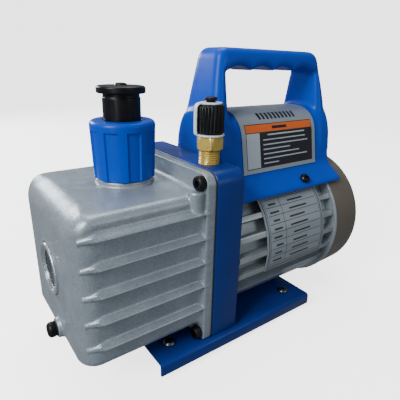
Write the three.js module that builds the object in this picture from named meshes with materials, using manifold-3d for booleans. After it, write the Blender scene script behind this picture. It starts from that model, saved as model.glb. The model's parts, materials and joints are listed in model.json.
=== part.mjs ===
// Rotary vane vacuum pump of the quarter-horsepower, single-stage, portable kind: a cast oil tank
// with cooling ribs, a pump body plate, a fan-cooled motor and a carrying handle on a sheet base.
// Millimetres, +Z up. Working frame: X = 0 is the pump body's front face, where the oil tank is
// bolted on, with the tank on -X and the motor on +X; Y = 0 is the centre plane; Z = 0 the floor.
// The finished group is shifted along X, so that its box is centred on the origin.
import * as THREE from "three";
import { mergeVertices } from "three/addons/utils/BufferGeometryUtils.js";
import Module from "manifold-3d";

const wasm = await Module();
wasm.setup();

// ---------------------------------------------------------------- driving dimensions
const GAP = 0.3; // between pieces that touch
const AXIS_Z = 68; // height of the shaft

const BASE = { x0: -46, x1: 106.6, half: 61.9, top: 14, bottom: 4, sheet: 2, bend: 5 };
const FOOT = { x: [-30, 90], y: 45.5, radius: 9, screw: 2.4 };

const BODY = { x1: 23.2, half: 58, z0: 14.3, z1: 141, corner: 9 };
const FLANGE = { x0: -8.4, x1: -1.2, corner: 8, foot: 2 };
const TANK = { x0: -95, half: 53.5, z0: 25.5, z1: 127.6, corner: 13, edge: 6, brow: 16, wall: 5 };
const RIB = { count: 5, lowest: 41.6, pitch: 18.2, tip: 58, x0: -89, taper: 8, height: 5.5 };
const TANK_SCREW = { y: 52.5, z: [19.6, 135.2], head: 4.8, shank: 2.5 };
const SIGHT = { z: 75.3, ring: 18, window: 13, lens: 15 };
const DRAIN = { y: -8.6, z: 33.5, boss: 7, head: 5.4, thread: 4, seal: 5.4, tip: -104 };

const CYLINDER = { x0: -49.3, x1: -13.3, outer: 33, bore: 24, offset: 2.5, flat: 97 };
const ROTOR = { radius: 21.2, slot: 4.2, slotBottom: 9 };
const SHAFT = 7; // shaft radius
const VALVE = { x0: -46, x1: -20, y0: 3, y1: 13, sheet: 0.5 };

const MOTOR = { x0: 23.6, x1: 133.5, bore: 46, shell: 51.5, fins: 58.5, belly: 57.8, flat: 15 };
const PAD = { top: 127, half: 28 }; // the housing's flat land under the handle
const FIN = { count: 5, first: -13, pitch: 15, thick: 4.6 };
const STATOR = { x0: 50, x1: 100 };
const COVER = { x0: 136.6, x1: 174.6, radius: 60.5, rear: 59.6, corner: 11, sheet: 1.6 };
const BRACKET = { x0: 133.8, rim: 60.8 };

const HANDLE = { x0: 24, x1: 151, top: 219.6, crest: 172.5, side: 27, skirt: 47.5, wall: 3 };
const GRIP = { x0: 38.5, x1: 138.5, under: 202, scallops: 4, scallopDepth: 3 };
const PANEL = { x0: 61, x1: 127, y: 31.5, z0: 131, z1: 152 };
const SWITCH = { x: 75, z: 142, halfX: 9.5, halfZ: 6.5, tilt: 8 };
const GLAND = { x: 113, z: 141 };
const LABEL = { x0: 46, x1: 131, z0: 126, y1: 6 };
const PLATE = { x0: 51, x1: 119, from: -15, to: 46 };
const HANDLE_SCREW = { x: 105, angle: 48.7, skirt: 65.6 };

const INTAKE = { x: 11.6, y: -32, thread: 7.5, hex: 8.5, flare: 5.5, cap: 9.5 };
const EXHAUST = {
  x: -38, boss: 19.5, stub: 13, bore: 10, foot: 131.6, capTop: 170.3, rTop: 21.9, rBottom: 20.8, plug: 12.5,
};

// ---------------------------------------------------------------- materials
const finish = (color, roughness, metalness) =>
  new THREE.MeshStandardMaterial({ color, roughness, metalness });
const casting = finish(0x9aa0a2, 0.55, 0.7);
const machined = finish(0xb9bcbd, 0.35, 0.9);
const steel = finish(0x8f9296, 0.3, 1);
const bluePaint = finish(0x1244a0, 0.3, 0.2);
const bluePlastic = finish(0x0a4fc0, 0.35, 0);
const blackPlastic = finish(0x17181b, 0.45, 0);
const blackSteel = finish(0x1c1d20, 0.4, 0.7);
const rubber = finish(0x1a1a1a, 0.85, 0);
const brass = finish(0xc39a3c, 0.3, 1);
const taupePaint = finish(0x6b655c, 0.5, 0.2);
const copper = finish(0xb06a36, 0.4, 0.9);
const whitePlastic = finish(0xdfe2e2, 0.4, 0);
const foil = finish(0xc6cacb, 0.4, 0.4);
const glass = finish(0x6a7470, 0.1, 0);
const felt = finish(0xd9d4c4, 0.95, 0);
const gasketPaper = finish(0x3a3d3f, 0.9, 0);

// ---------------------------------------------------------------- geometry helpers
const AXES = { x: new THREE.Vector3(1, 0, 0), y: new THREE.Vector3(0, 1, 0), z: new THREE.Vector3(0, 0, 1) };
const radians = (degrees) => THREE.MathUtils.degToRad(degrees);

// A closed three.js geometry as a manifold solid.
function solid(geometry) {
  const plain = geometry.clone();
  plain.deleteAttribute("normal");
  plain.deleteAttribute("uv");
  const merged = mergeVertices(plain, 1e-4);
  const points = merged.attributes.position;
  const triangles = [];
  let volume = 0;
  const corner = [0, 1, 2].map(() => new THREE.Vector3());
  for (let i = 0; i < merged.index.count; i += 3) {
    const ids = [0, 1, 2].map((k) => merged.index.getX(i + k));
    if (ids[0] === ids[1] || ids[1] === ids[2] || ids[2] === ids[0]) continue;
    ids.forEach((id, k) => corner[k].fromBufferAttribute(points, id));
    volume += corner[0].dot(corner[1].clone().cross(corner[2]));
    triangles.push(ids);
  }
  if (volume < 0) triangles.forEach((ids) => ids.reverse());
  const vertProperties = new Float32Array(points.array);
  const triVerts = new Uint32Array(triangles.flat());
  return new wasm.Manifold(new wasm.Mesh({ numProp: 3, vertProperties, triVerts }));
}

const join = (pieces) => pieces.reduce((all, piece) => all.add(piece));
const cut = (piece, tools) => piece.subtract(join(tools));

function box(x0, x1, y0, y1, z0, z1) {
  const geometry = new THREE.BoxGeometry(x1 - x0, y1 - y0, z1 - z0);
  geometry.translate((x0 + x1) / 2, (y0 + y1) / 2, (z0 + z1) / 2);
  return solid(geometry);
}

// Extrusions: alongX takes a (y, z) outline, alongY an (x, z) outline and alongZ an (x, y) outline.
function extrude(shape, depth, options) {
  return new THREE.ExtrudeGeometry(shape, { depth, bevelEnabled: false, curveSegments: 5, ...options });
}
function alongX(shape, x0, x1, options) {
  const geometry = extrude(shape, x1 - x0, options);
  geometry.applyMatrix4(new THREE.Matrix4().makeBasis(AXES.y, AXES.z, AXES.x));
  geometry.translate(x0, 0, 0);
  return solid(geometry);
}
function alongY(shape, y0, y1, options) {
  const geometry = extrude(shape, y1 - y0, options);
  geometry.rotateX(Math.PI / 2);
  geometry.translate(0, y1, 0);
  return solid(geometry);
}
function alongZ(shape, z0, z1, options) {
  const geometry = extrude(shape, z1 - z0, options);
  geometry.translate(0, 0, z0);
  return solid(geometry);
}

// Turns a geometry whose axis is Y so that its axis is the named one, and moves it to (a, b),
// the two coordinates across that axis: (y, z), (x, z) or (x, y).
function orient(geometry, axis, a, b) {
  if (axis === "x") geometry.rotateZ(-Math.PI / 2).translate(0, a, b);
  if (axis === "y") geometry.translate(a, 0, b);
  if (axis === "z") geometry.rotateX(Math.PI / 2).translate(a, b, 0);
  return geometry;
}
function rod(axis, a, b, radius, from, to, sides = 20) {
  const geometry = new THREE.CylinderGeometry(radius, radius, to - from, sides);
  geometry.translate(0, (from + to) / 2, 0);
  return solid(orient(geometry, axis, a, b));
}
// points are [radius, place along the axis]; the profile starts and ends on the axis or closes.
function turned(axis, a, b, points, sides = 24) {
  const profile = points.map(([radius, along]) => new THREE.Vector2(radius, along));
  return solid(orient(new THREE.LatheGeometry(profile, sides), axis, a, b));
}
function ring(axis, a, b, inner, outer, from, to, sides = 20) {
  const points = [[inner, from], [outer, from], [outer, to], [inner, to], [inner, from]];
  return turned(axis, a, b, points, sides);
}
function roundedRect(a0, a1, b0, b1, r) {
  const shape = new THREE.Shape();
  shape.moveTo(a0 + r, b0);
  shape.lineTo(a1 - r, b0);
  shape.absarc(a1 - r, b0 + r, r, -Math.PI / 2, 0);
  shape.absarc(a1 - r, b1 - r, r, 0, Math.PI / 2);
  shape.absarc(a0 + r, b1 - r, r, Math.PI / 2, Math.PI);
  shape.absarc(a0 + r, b0 + r, r, Math.PI, Math.PI * 1.5);
  return shape;
}
function circle(a, b, radius) {
  const path = new THREE.Shape();
  path.absarc(a, b, radius, 0, Math.PI * 2);
  return path;
}
function polygon(points) {
  return new THREE.Shape(points.map(([a, b]) => new THREE.Vector2(a, b)));
}
function hexagon(a, b, acrossFlats) {
  const radius = acrossFlats / Math.sqrt(3);
  const corners = [0, 1, 2, 3, 4, 5].map((i) => radians(60 * i));
  return polygon(corners.map((t) => [a + radius * Math.cos(t), b + radius * Math.sin(t)]));
}
const about = (piece, matrix) => piece.transform(matrix.elements);
function turnAboutShaft(piece, degrees) {
  const matrix = new THREE.Matrix4().makeTranslation(0, 0, AXIS_Z);
  matrix.multiply(new THREE.Matrix4().makeRotationX(radians(degrees)));
  matrix.multiply(new THREE.Matrix4().makeTranslation(0, 0, -AXIS_Z));
  return about(piece, matrix);
}

const group = new THREE.Group();
function part(name, piece, material) {
  const mesh = piece.getMesh();
  const geometry = new THREE.BufferGeometry();
  geometry.setAttribute("position", new THREE.BufferAttribute(mesh.vertProperties, 3));
  geometry.setIndex(new THREE.BufferAttribute(mesh.triVerts, 1));
  geometry.computeVertexNormals();
  const node = new THREE.Mesh(geometry, material);
  node.name = name;
  group.add(node);
}

// ---------------------------------------------------------------- base and feet
function basePlate() {
  const { x0, x1, half, top, bottom, sheet, bend } = BASE;
  const inner = bend - sheet;
  const channel = new THREE.Shape();
  channel.moveTo(-half, bottom);
  channel.lineTo(-half + sheet, bottom);
  channel.absarc(-half + bend, top - bend, inner, Math.PI, Math.PI / 2, true);
  channel.absarc(half - bend, top - bend, inner, Math.PI / 2, 0, true);
  channel.lineTo(half - sheet, bottom);
  channel.lineTo(half, bottom);
  channel.absarc(half - bend, top - bend, bend, 0, Math.PI / 2);
  channel.absarc(-half + bend, top - bend, bend, Math.PI / 2, Math.PI);
  const holes = footPlaces().map(([x, y]) => rod("z", x, y, FOOT.screw + 0.4, 5, 20, 12));
  return cut(alongX(channel, x0, x1, { curveSegments: 4 }), holes);
}
function footPlaces() {
  return FOOT.x.flatMap((x) => [[x, -FOOT.y], [x, FOOT.y]]);
}
function rubberFoot(x, y) {
  const top = BASE.top - BASE.sheet - GAP;
  const hole = FOOT.screw + 0.4;
  const profile = [
    [hole, top], [hole, 4], [5, 4], [5, 0], [FOOT.radius - 1, 0], [FOOT.radius, top], [hole, top],
  ];
  return turned("z", x, y, profile, 12);
}
function footScrew(x, y) {
  const seat = BASE.top + GAP;
  const head = 4.6;
  const profile = [
    [0, 4.5], [FOOT.screw, 4.5], [FOOT.screw, seat], [head, seat], [head, seat + 1], [3, seat + 2.4],
    [0, seat + 2.6],
  ];
  return turned("z", x, y, profile, 10);
}

part("base_plate", basePlate(), bluePaint);
footPlaces().forEach(([x, y], i) => {
  part(`rubber_foot_${i + 1}`, rubberFoot(x, y), rubber);
  part(`foot_screw_${i + 1}`, footScrew(x, y), steel);
});

// ---------------------------------------------------------------- pump body
function tankScrewPlaces() {
  return TANK_SCREW.z.flatMap((z) => [[-TANK_SCREW.y, z], [TANK_SCREW.y, z]]);
}
function tankScrewHoles(x0, x1) {
  return tankScrewPlaces().map(([y, z]) => rod("x", y, z, TANK_SCREW.shank + GAP, x0, x1, 8));
}
function pumpBody() {
  const { x1, half, z0, z1, corner } = BODY;
  const outline = new THREE.Shape();
  outline.moveTo(-half, z0);
  outline.lineTo(half, z0);
  outline.absarc(half - corner, z1 - corner, corner, 0, Math.PI / 2);
  outline.absarc(-half + corner, z1 - corner, corner, Math.PI / 2, Math.PI);
  const passageZ = 92;
  return cut(alongX(outline, 0, x1), [
    rod("x", 0, AXIS_Z, 12.5, -1, 11.2),
    rod("x", 0, AXIS_Z, 17.3, 11.2, x1 + 1),
    rod("z", INTAKE.x, INTAKE.y, INTAKE.thread + GAP, 128, z1 + 1),
    rod("z", INTAKE.x, INTAKE.y, 3, passageZ - 3, 129, 12),
    rod("x", INTAKE.y, passageZ, 2.5, -1, INTAKE.x, 12),
    ...tankScrewHoles(-1, 10.5),
  ]);
}
part("pump_body", pumpBody(), bluePaint);

// ---------------------------------------------------------------- oil tank
// One rib: its upper face slopes down to a sharp outer edge, and its free end tapers into the wall.
function tankRib(side, z) {
  const root = TANK.half - 2;
  const profile = polygon([
    [side * root, z - 2], [side * RIB.tip, z], [side * RIB.tip, z + 1.5], [side * root, z + RIB.height],
  ]);
  const plan = polygon([
    [RIB.x0, side * root], [RIB.x0 + RIB.taper, side * RIB.tip], [FLANGE.x0 + 2, side * RIB.tip],
    [FLANGE.x0 + 2, side * root],
  ]);
  return alongX(profile, RIB.x0, FLANGE.x0 + 1).intersect(alongZ(plan, z - 5, z + 12));
}
// The flange's outline, inset all round: large corners above and small ones beside the base.
function flangeOutline(inset) {
  const { corner, foot } = FLANGE;
  const [half, low, high] = [BODY.half - inset, BODY.z0 + inset, BODY.z1 - inset];
  const shape = new THREE.Shape();
  shape.moveTo(-half + foot, low);
  shape.absarc(half - foot, low + foot, foot, -Math.PI / 2, 0);
  shape.absarc(half - corner, high - corner, corner, 0, Math.PI / 2);
  shape.absarc(-half + corner, high - corner, corner, Math.PI / 2, Math.PI);
  shape.absarc(-half + foot, low + foot, foot, Math.PI, Math.PI * 1.5);
  return shape;
}
function oilTank() {
  const { x0, half, z0, z1, corner, edge, brow, wall } = TANK;
  const plan = new THREE.Shape();
  plan.moveTo(-2, -half);
  plan.lineTo(-2, half);
  plan.absarc(x0 + corner, half - corner, corner, Math.PI / 2, Math.PI);
  plan.absarc(x0 + corner, -half + corner, corner, Math.PI, Math.PI * 1.5);
  const bevel = { bevelEnabled: true, bevelSize: edge, bevelOffset: -edge, bevelThickness: edge };
  const walls = alongZ(plan, z0 + edge, z1 - edge, { ...bevel, bevelSegments: 2, curveSegments: 4 });
  const side = new THREE.Shape();
  side.moveTo(0, z0 - 1);
  side.lineTo(0, z1 + 1);
  side.lineTo(x0 + brow, z1 + 1);
  side.absarc(x0 + brow, z1 - brow, brow, Math.PI / 2, Math.PI);
  side.lineTo(x0, z0 - 1);
  const shell = walls.intersect(alongY(side, -half - 1, half + 1));
  const ribs = [-1, 1].flatMap((side) =>
    Array.from({ length: RIB.count }, (_, i) => tankRib(side, RIB.lowest + i * RIB.pitch)),
  );
  const lugs = [-1, 1].map((side) => rod("z", -13.5, side * TANK_SCREW.y, 5, 114, 130.1, 12));
  const outside = join([
    shell,
    alongX(flangeOutline(0), FLANGE.x0, FLANGE.x1),
    rod("z", EXHAUST.x, 0, EXHAUST.boss, z1 - 2, EXHAUST.foot - GAP, 28),
    rod("z", EXHAUST.x, 0, EXHAUST.stub, z1 - 2, 140.6),
    rod("x", DRAIN.y, DRAIN.z, DRAIN.boss, x0 - 3, x0 + 1),
    ...ribs,
    ...lugs,
  ]);
  const cavity = roundedRect(-half + wall, half - wall, z0 + wall, z1 - wall, 6);
  const hollow = cut(alongX(cavity, x0 + wall, 0, { curveSegments: 3 }), [
    rod("x", 0, SIGHT.z, SIGHT.ring + 3, x0 + wall - 1, x0 + wall + 3),
  ]);
  return cut(outside, [
    hollow,
    rod("x", 0, SIGHT.z, SIGHT.ring + GAP, x0 - 1, x0 + wall, 24),
    rod("x", 0, SIGHT.z, SIGHT.window, x0 + wall - 1, x0 + wall + 4),
    rod("x", DRAIN.y, DRAIN.z, DRAIN.thread + GAP, x0 - 4, x0 + wall + 2),
    rod("z", EXHAUST.x, 0, EXHAUST.bore, z1 - wall - 1, 142),
    ...tankScrewHoles(FLANGE.x0 - 1, 0),
  ]);
}
function tankGasket() {
  const outer = flangeOutline(0.5);
  const opening = TANK.half - TANK.wall;
  outer.holes.push(roundedRect(-opening, opening, TANK.z0 + 5, TANK.z1 - 5, 6));
  return cut(alongX(outer, -0.95, -0.25, { curveSegments: 3 }), tankScrewHoles(-2, 1));
}
function tankScrew(y, z) {
  const seat = FLANGE.x0 - GAP;
  const head = rod("x", y, z, TANK_SCREW.head, seat - 5, seat, 16);
  const shank = rod("x", y, z, TANK_SCREW.shank, seat - 1, 10, 8);
  return cut(head.add(shank), [alongX(hexagon(y, z, 4), seat - 6, seat - 2.5)]);
}
part("oil_tank", oilTank(), casting);
part("tank_gasket", tankGasket(), gasketPaper);
tankScrewPlaces().forEach(([y, z], i) => part(`tank_screw_${i + 1}`, tankScrew(y, z), blackSteel));

// Oil sight glass: a threaded ring holds the lens and its seal against the shoulder of the end wall.
function sightRing() {
  const face = TANK.x0;
  const profile = [
    [SIGHT.window, face - 2], [SIGHT.ring - 0.8, face - 2], [SIGHT.ring, face - 1.2],
    [SIGHT.ring, face + 4.7], [SIGHT.lens + GAP, face + 4.7], [SIGHT.lens + GAP, face + 0.5],
    [SIGHT.window, face + 0.5], [SIGHT.window, face - 2],
  ];
  return turned("x", 0, SIGHT.z, profile);
}
part("sight_glass_ring", sightRing(), machined);
part("sight_glass_lens", rod("x", 0, SIGHT.z, SIGHT.lens, TANK.x0 + 0.8, TANK.x0 + 3.5, 24), glass);
part("sight_glass_seal", ring("x", 0, SIGHT.z, 12.8, 15, TANK.x0 + 3.8, TANK.x0 + 4.7), rubber);

function drainPlug() {
  const seat = TANK.x0 - 4.2;
  const profile = [
    [0, DRAIN.tip], [DRAIN.head - 1.5, DRAIN.tip], [DRAIN.head, DRAIN.tip + 1.5], [DRAIN.head, seat],
    [DRAIN.thread, seat], [DRAIN.thread, TANK.x0 + 6], [0, TANK.x0 + 6],
  ];
  const socket = alongX(hexagon(DRAIN.y, DRAIN.z, 4), DRAIN.tip - 1, DRAIN.tip + 3.5);
  return cut(turned("x", DRAIN.y, DRAIN.z, profile, 20), [socket]);
}
part("drain_plug", drainPlug(), blackPlastic);
part(
  "drain_seal",
  ring("x", DRAIN.y, DRAIN.z, DRAIN.thread + GAP, DRAIN.seal, TANK.x0 - 3.9, TANK.x0 - 3.3, 16),
  rubber,
);

// ---------------------------------------------------------------- pump cylinder and rotor
function rearPlate() {
  const outline = roundedRect(-42, 42, 34, 106, 10);
  return cut(alongX(outline, -13, -GAP, { curveSegments: 4 }), [
    rod("x", 0, AXIS_Z, SHAFT + GAP, -14, 1),
    rod("x", 0, AXIS_Z, 12.3, -7.5, 1),
    rod("x", INTAKE.y, 92, 2.5, -8, 1, 12),
  ]);
}
function cylinderOutline(x0, x1) {
  const round = rod("x", 0, AXIS_Z, CYLINDER.outer, x0, x1, 28);
  return cut(round, [box(x0 - 1, x1 + 1, -50, 50, CYLINDER.flat, 120)]);
}
function pumpCylinder() {
  const { x0, x1, bore, offset, flat } = CYLINDER;
  return cut(cylinderOutline(x0, x1), [
    rod("x", 0, AXIS_Z - offset, bore, x0 - 1, x1 + 1, 36),
    rod("z", -31, 8, 2.5, AXIS_Z + 15, flat + 1, 12),
  ]);
}
function endCover() {
  const x1 = CYLINDER.x0 - GAP;
  return cut(cylinderOutline(x1 - 8, x1), [rod("x", 0, AXIS_Z, SHAFT + GAP, x1 - 6.5, x1 + 1)]);
}
function pumpRotor() {
  const x0 = CYLINDER.x0 + GAP;
  const x1 = CYLINDER.x1 - GAP;
  const { radius, slot, slotBottom } = ROTOR;
  const z0 = AXIS_Z - slot / 2;
  const z1 = AXIS_Z + slot / 2;
  return cut(rod("x", 0, AXIS_Z, radius, x0, x1, 36), [
    box(x0 - 1, x1 + 1, -radius - 1, -slotBottom, z0, z1),
    box(x0 - 1, x1 + 1, slotBottom, radius + 1, z0, z1),
  ]).add(rod("x", 0, AXIS_Z, SHAFT, x0 - 6, 5.6));
}
// A vane rests flush with the rotor and can slide out to the bore. A spring sits in its pocket.
function vane(side) {
  const inner = ROTOR.slotBottom + 2 * GAP;
  const outer = ROTOR.radius - GAP;
  const [y0, y1] = [side * inner, side * outer].sort((a, b) => a - b);
  const half = ROTOR.slot / 2 - GAP;
  const blade = box(CYLINDER.x0 + 0.6, CYLINDER.x1 - 0.6, y0, y1, AXIS_Z - half, AXIS_Z + half);
  const [p0, p1] = [side * (inner - 1), side * (inner + 4.6)].sort((a, b) => a - b);
  return cut(blade, [rod("y", -31.3, AXIS_Z, 1.3, p0, p1, 12)]);
}
function vaneSpring(side) {
  const inner = ROTOR.slotBottom + GAP;
  const [y0, y1] = [side * inner, side * (inner + 4.3)].sort((a, b) => a - b);
  return rod("y", -31.3, AXIS_Z, 1, y0, y1, 8);
}
part("cylinder_rear_plate", rearPlate(), machined);
part("pump_cylinder", pumpCylinder(), machined);
part("cylinder_end_cover", endCover(), machined);
part("pump_rotor", pumpRotor(), steel);
part("vane_a", vane(-1), blackPlastic);
part("vane_b", vane(1), blackPlastic);
part("vane_spring_a", vaneSpring(-1), steel);
part("vane_spring_b", vaneSpring(1), steel);

// Exhaust valve on the cylinder's flat: a thin flap under a bent stop plate.
function flapStop() {
  const { x0, x1, y0, y1 } = VALVE;
  const z = CYLINDER.flat + 1.1;
  const bent = polygon([
    [x0, z], [x0 + 2, z], [x1 + 1, z + 4.4], [x1 + 1, z + 5.6], [x0 + 2, z + 1.5], [x0, z + 1.5],
  ]);
  return alongY(bent, y0, y1);
}
function exhaustFlap() {
  const z = CYLINDER.flat + GAP;
  return box(VALVE.x0, VALVE.x1, VALVE.y0, VALVE.y1, z, z + VALVE.sheet);
}
part("exhaust_flap", exhaustFlap(), steel);
part("exhaust_flap_stop", flapStop(), steel);

// ---------------------------------------------------------------- shaft line and motor
part("shaft_seal", ring("x", 0, AXIS_Z, SHAFT + 0.35, 12, -7.2, -1.3), rubber);
part("shaft_coupling", ring("x", 0, AXIS_Z, SHAFT + GAP, 11.5, 0.6, 10.8), steel);
part("front_bearing", ring("x", 0, AXIS_Z, SHAFT + GAP, 17, 11.6, 22.6), steel);
part("rear_bearing", ring("x", 0, AXIS_Z, SHAFT + GAP, 17, 135, 145), steel);
part("motor_shaft", rod("x", 0, AXIS_Z, SHAFT, 6, 163), steel);
part("motor_rotor_core", ring("x", 0, AXIS_Z, SHAFT + GAP, 24.8, STATOR.x0, STATOR.x1, 28), steel);
part("stator_core", ring("x", 0, AXIS_Z, 25.3, MOTOR.bore - 0.4, STATOR.x0, STATOR.x1, 28), steel);

function winding(x0, x1) {
  const round = 3;
  const profile = [
    [27, x0 + round], [27 + round, x0], [43 - round, x0], [43, x0 + round], [43, x1 - round],
    [43 - round, x1], [27 + round, x1], [27, x1 - round], [27, x0 + round],
  ];
  return turned("x", 0, AXIS_Z, profile, 16);
}
part("winding_front", winding(37, STATOR.x0 - GAP), copper);
part("winding_rear", winding(STATOR.x1 + GAP, 113), copper);

// Extruded aluminium housing: fins on both flanks, a smooth belly with a flat, a pad on top.
function motorHousing() {
  const { x0, x1, bore, shell, fins, belly, flat } = MOTOR;
  const angles = Array.from({ length: FIN.count }, (_, i) => FIN.first + i * FIN.pitch);
  const finBlocks = angles.flatMap((angle) => [angle, 180 - angle]).map((angle) =>
    turnAboutShaft(
      box(x0, x1, shell - 2, fins, AXIS_Z - FIN.thick / 2, AXIS_Z + FIN.thick / 2), angle,
    ),
  );
  const sector = new THREE.Shape();
  sector.absarc(0, AXIS_Z, belly, radians(-155), radians(-25));
  sector.lineTo(0, AXIS_Z);
  const mass = join([
    rod("x", 0, AXIS_Z, shell, x0, x1, 40),
    alongX(sector, x0, x1, { curveSegments: 14 }),
    box(x0, x1, -PAD.half, PAD.half, 110, PAD.top),
    ...finBlocks,
  ]);
  return cut(mass, [
    rod("x", 0, AXIS_Z, bore, x0 - 1, x1 + 1, 36),
    box(x0 - 1, x1 + 1, -60, 60, 0, flat),
    ...handleScrewTools(2.7, 49.5, 62),
  ]);
}
// Rods on the two lines that the handle's screws lie on, between two distances from the shaft.
function handleScrewTools(radius, from, to) {
  return [HANDLE_SCREW.angle, 180 - HANDLE_SCREW.angle].map((angle) => {
    const rodOut = rod("y", HANDLE_SCREW.x, AXIS_Z, radius, from, to, 12);
    return turnAboutShaft(rodOut, angle);
  });
}
part("motor_housing", motorHousing(), machined);

function rearBracket() {
  const { x0, rim } = BRACKET;
  const inside = COVER.radius - COVER.sheet - 1.4;
  const profile = [
    [17.3, x0 + 0.4], [17.3, 146], [22, 146], [22, 139.5], [inside, 139.5], [inside, COVER.x0 - GAP],
    [rim, COVER.x0 - GAP], [rim, x0], [44, x0], [44, x0 + 3], [22, x0 + 3], [22, x0 + 0.4], [17.3, x0 + 0.4],
  ];
  return turned("x", 0, AXIS_Z, profile, 28);
}
part("motor_rear_bracket", rearBracket(), machined);

function coolingFan() {
  const blades = Array.from({ length: 7 }, (_, i) =>
    turnAboutShaft(box(149, 161, 10, 50, AXIS_Z - 1.1, AXIS_Z + 1.1), (360 / 7) * i),
  );
  return join([
    ring("x", 0, AXIS_Z, SHAFT + GAP, 12, 148, 163),
    ring("x", 0, AXIS_Z, 11, 50, 149, 150.6, 24),
    ...blades,
  ]);
}
part("cooling_fan", coolingFan(), blackPlastic);

// Pressed fan cover: a shallow dish with radial vent slots in its back.
function fanCover() {
  const { x0, x1, radius, rear, corner, sheet } = COVER;
  const wall = (inset) => {
    const turn = corner - inset;
    const steps = 3;
    const bend = Array.from({ length: steps + 1 }, (_, i) => {
      const t = (i / steps) * (Math.PI / 2);
      return [rear - corner + turn * Math.cos(t), x1 - corner + turn * Math.sin(t)];
    });
    return [[radius - inset, x0], ...bend, [0, x1 - inset]];
  };
  const dish = turned("x", 0, AXIS_Z, [...wall(0), ...wall(sheet).reverse(), [radius, x0]], 32);
  const slots = Array.from({ length: 12 }, (_, i) =>
    turnAboutShaft(box(x1 - 4, x1 + 1, 18, 45, AXIS_Z - 2.2, AXIS_Z + 2.2), 30 * i + 15),
  );
  return cut(dish, slots);
}
part("fan_cover", fanCover(), taupePaint);

function nameplate() {
  const inner = MOTOR.fins + GAP;
  const [from, to] = [radians(180 - PLATE.to), radians(180 - PLATE.from)];
  const arc = new THREE.Shape();
  arc.absarc(0, AXIS_Z, inner + 0.5, from, to);
  arc.absarc(0, AXIS_Z, inner, to, from, true);
  return alongX(arc, PLATE.x0, PLATE.x1, { curveSegments: 8 });
}
part("motor_nameplate", nameplate(), foil);

// ---------------------------------------------------------------- handle with its wiring box
// Right half of the box's section, inset by t, from the crest down to the skirt's lip.
function boxSection(t, lip) {
  const { crest, side, skirt } = HANDLE;
  const half = new THREE.Path();
  half.moveTo(0, crest - t);
  half.bezierCurveTo(16 - t / 2, crest - t, side - 2 - t, 166 - t, side - t, 150);
  half.lineTo(side + 4 - t, 128 - t);
  half.quadraticCurveTo(side + 4.6 - t, 124 - t, side + 9 - t, 121 - t);
  half.lineTo(skirt - 2.5 - t, 114.6 - t);
  half.quadraticCurveTo(skirt - t, 113 - t, skirt - t, lip);
  const right = half.getPoints(4);
  const left = right.slice(1).reverse().map((p) => new THREE.Vector2(-p.x, p.y));
  return new THREE.Shape([...left, ...right]);
}
function archSide() {
  const { x0, x1, top } = HANDLE;
  const side = new THREE.Shape();
  side.moveTo(x0, 140);
  side.lineTo(x1, 140);
  side.quadraticCurveTo(x1 + 2.4, 168, x1 - 3, 190);
  side.lineTo(x1 - 8.5, 209);
  side.quadraticCurveTo(x1 - 11, top - 0.6, x1 - 20, top - 0.6);
  side.lineTo(x0 + 17, top);
  side.quadraticCurveTo(x0 + 9, top, x0 + 7, top - 9);
  side.quadraticCurveTo(x0 + 1, 178, x0, 155);
  const hole = new THREE.Path();
  const pitch = (GRIP.x1 - GRIP.x0 - 6) / GRIP.scallops;
  hole.moveTo(GRIP.x0, 150);
  hole.lineTo(GRIP.x0, GRIP.under - 3);
  hole.quadraticCurveTo(GRIP.x0, GRIP.under, GRIP.x0 + 3, GRIP.under);
  for (let i = 1; i <= GRIP.scallops; i += 1) {
    const end = GRIP.x0 + 3 + i * pitch;
    hole.quadraticCurveTo(end - pitch / 2, GRIP.under + 2 * GRIP.scallopDepth, end, GRIP.under);
  }
  hole.quadraticCurveTo(GRIP.x1, GRIP.under, GRIP.x1, GRIP.under - 3);
  hole.lineTo(GRIP.x1 + 1, 150);
  side.holes.push(hole);
  return side;
}
function archFront() {
  const { top } = HANDLE;
  const right = new THREE.Path();
  right.moveTo(27.5, 139);
  right.lineTo(27, 150);
  right.quadraticCurveTo(20, 170, 15.6, 208);
  right.quadraticCurveTo(14.5, top + 0.4, 8, top + 0.4);
  const points = right.getPoints(5);
  const left = points.slice().reverse().map((p) => new THREE.Vector2(-p.x, p.y));
  return new THREE.Shape([...points, ...left]);
}
function handle() {
  const { x0, x1, wall } = HANDLE;
  const arch = alongY(archSide(), -32, 32, { curveSegments: 4 })
    .intersect(alongX(archFront(), x0 - 5, x1 + 8));
  const panel = box(PANEL.x0, PANEL.x1, 15, PANEL.y, PANEL.z0, PANEL.z1);
  const outside = join([alongX(boxSection(0, 110.5), x0, x1), arch, panel]);
  return cut(outside, [
    alongX(boxSection(wall, 100), x0 + wall, x1 - wall),
    rod("x", 0, AXIS_Z, 59.3, x0 - 1, 134, 40),
    rod("x", 0, AXIS_Z, 61.7, 133.4, x1 + 2, 40),
    box(x0 - 1, 134, -PAD.half - GAP, PAD.half + GAP, 100, PAD.top + GAP),
    box(
      SWITCH.x - SWITCH.halfX - GAP, SWITCH.x + SWITCH.halfX + GAP, 15, 34,
      SWITCH.z - SWITCH.halfZ - GAP, SWITCH.z + SWITCH.halfZ + GAP,
    ),
    rod("y", GLAND.x, GLAND.z, 5.8, 14, 34),
    ...handleScrewTools(2.8, 55, 72),
  ]);
}
part("handle", handle(), bluePlastic);

function handleLabel() {
  const skin = alongX(boxSection(-0.8, 100), LABEL.x0, LABEL.x1);
  const backing = alongX(boxSection(-0.3, 99), LABEL.x0 - 1, LABEL.x1 + 1);
  const window = box(LABEL.x0 - 1, LABEL.x1 + 1, -60, LABEL.y1, LABEL.z0, 200);
  return cut(skin, [backing]).intersect(window);
}
part("handle_label", handleLabel(), foil);

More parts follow.
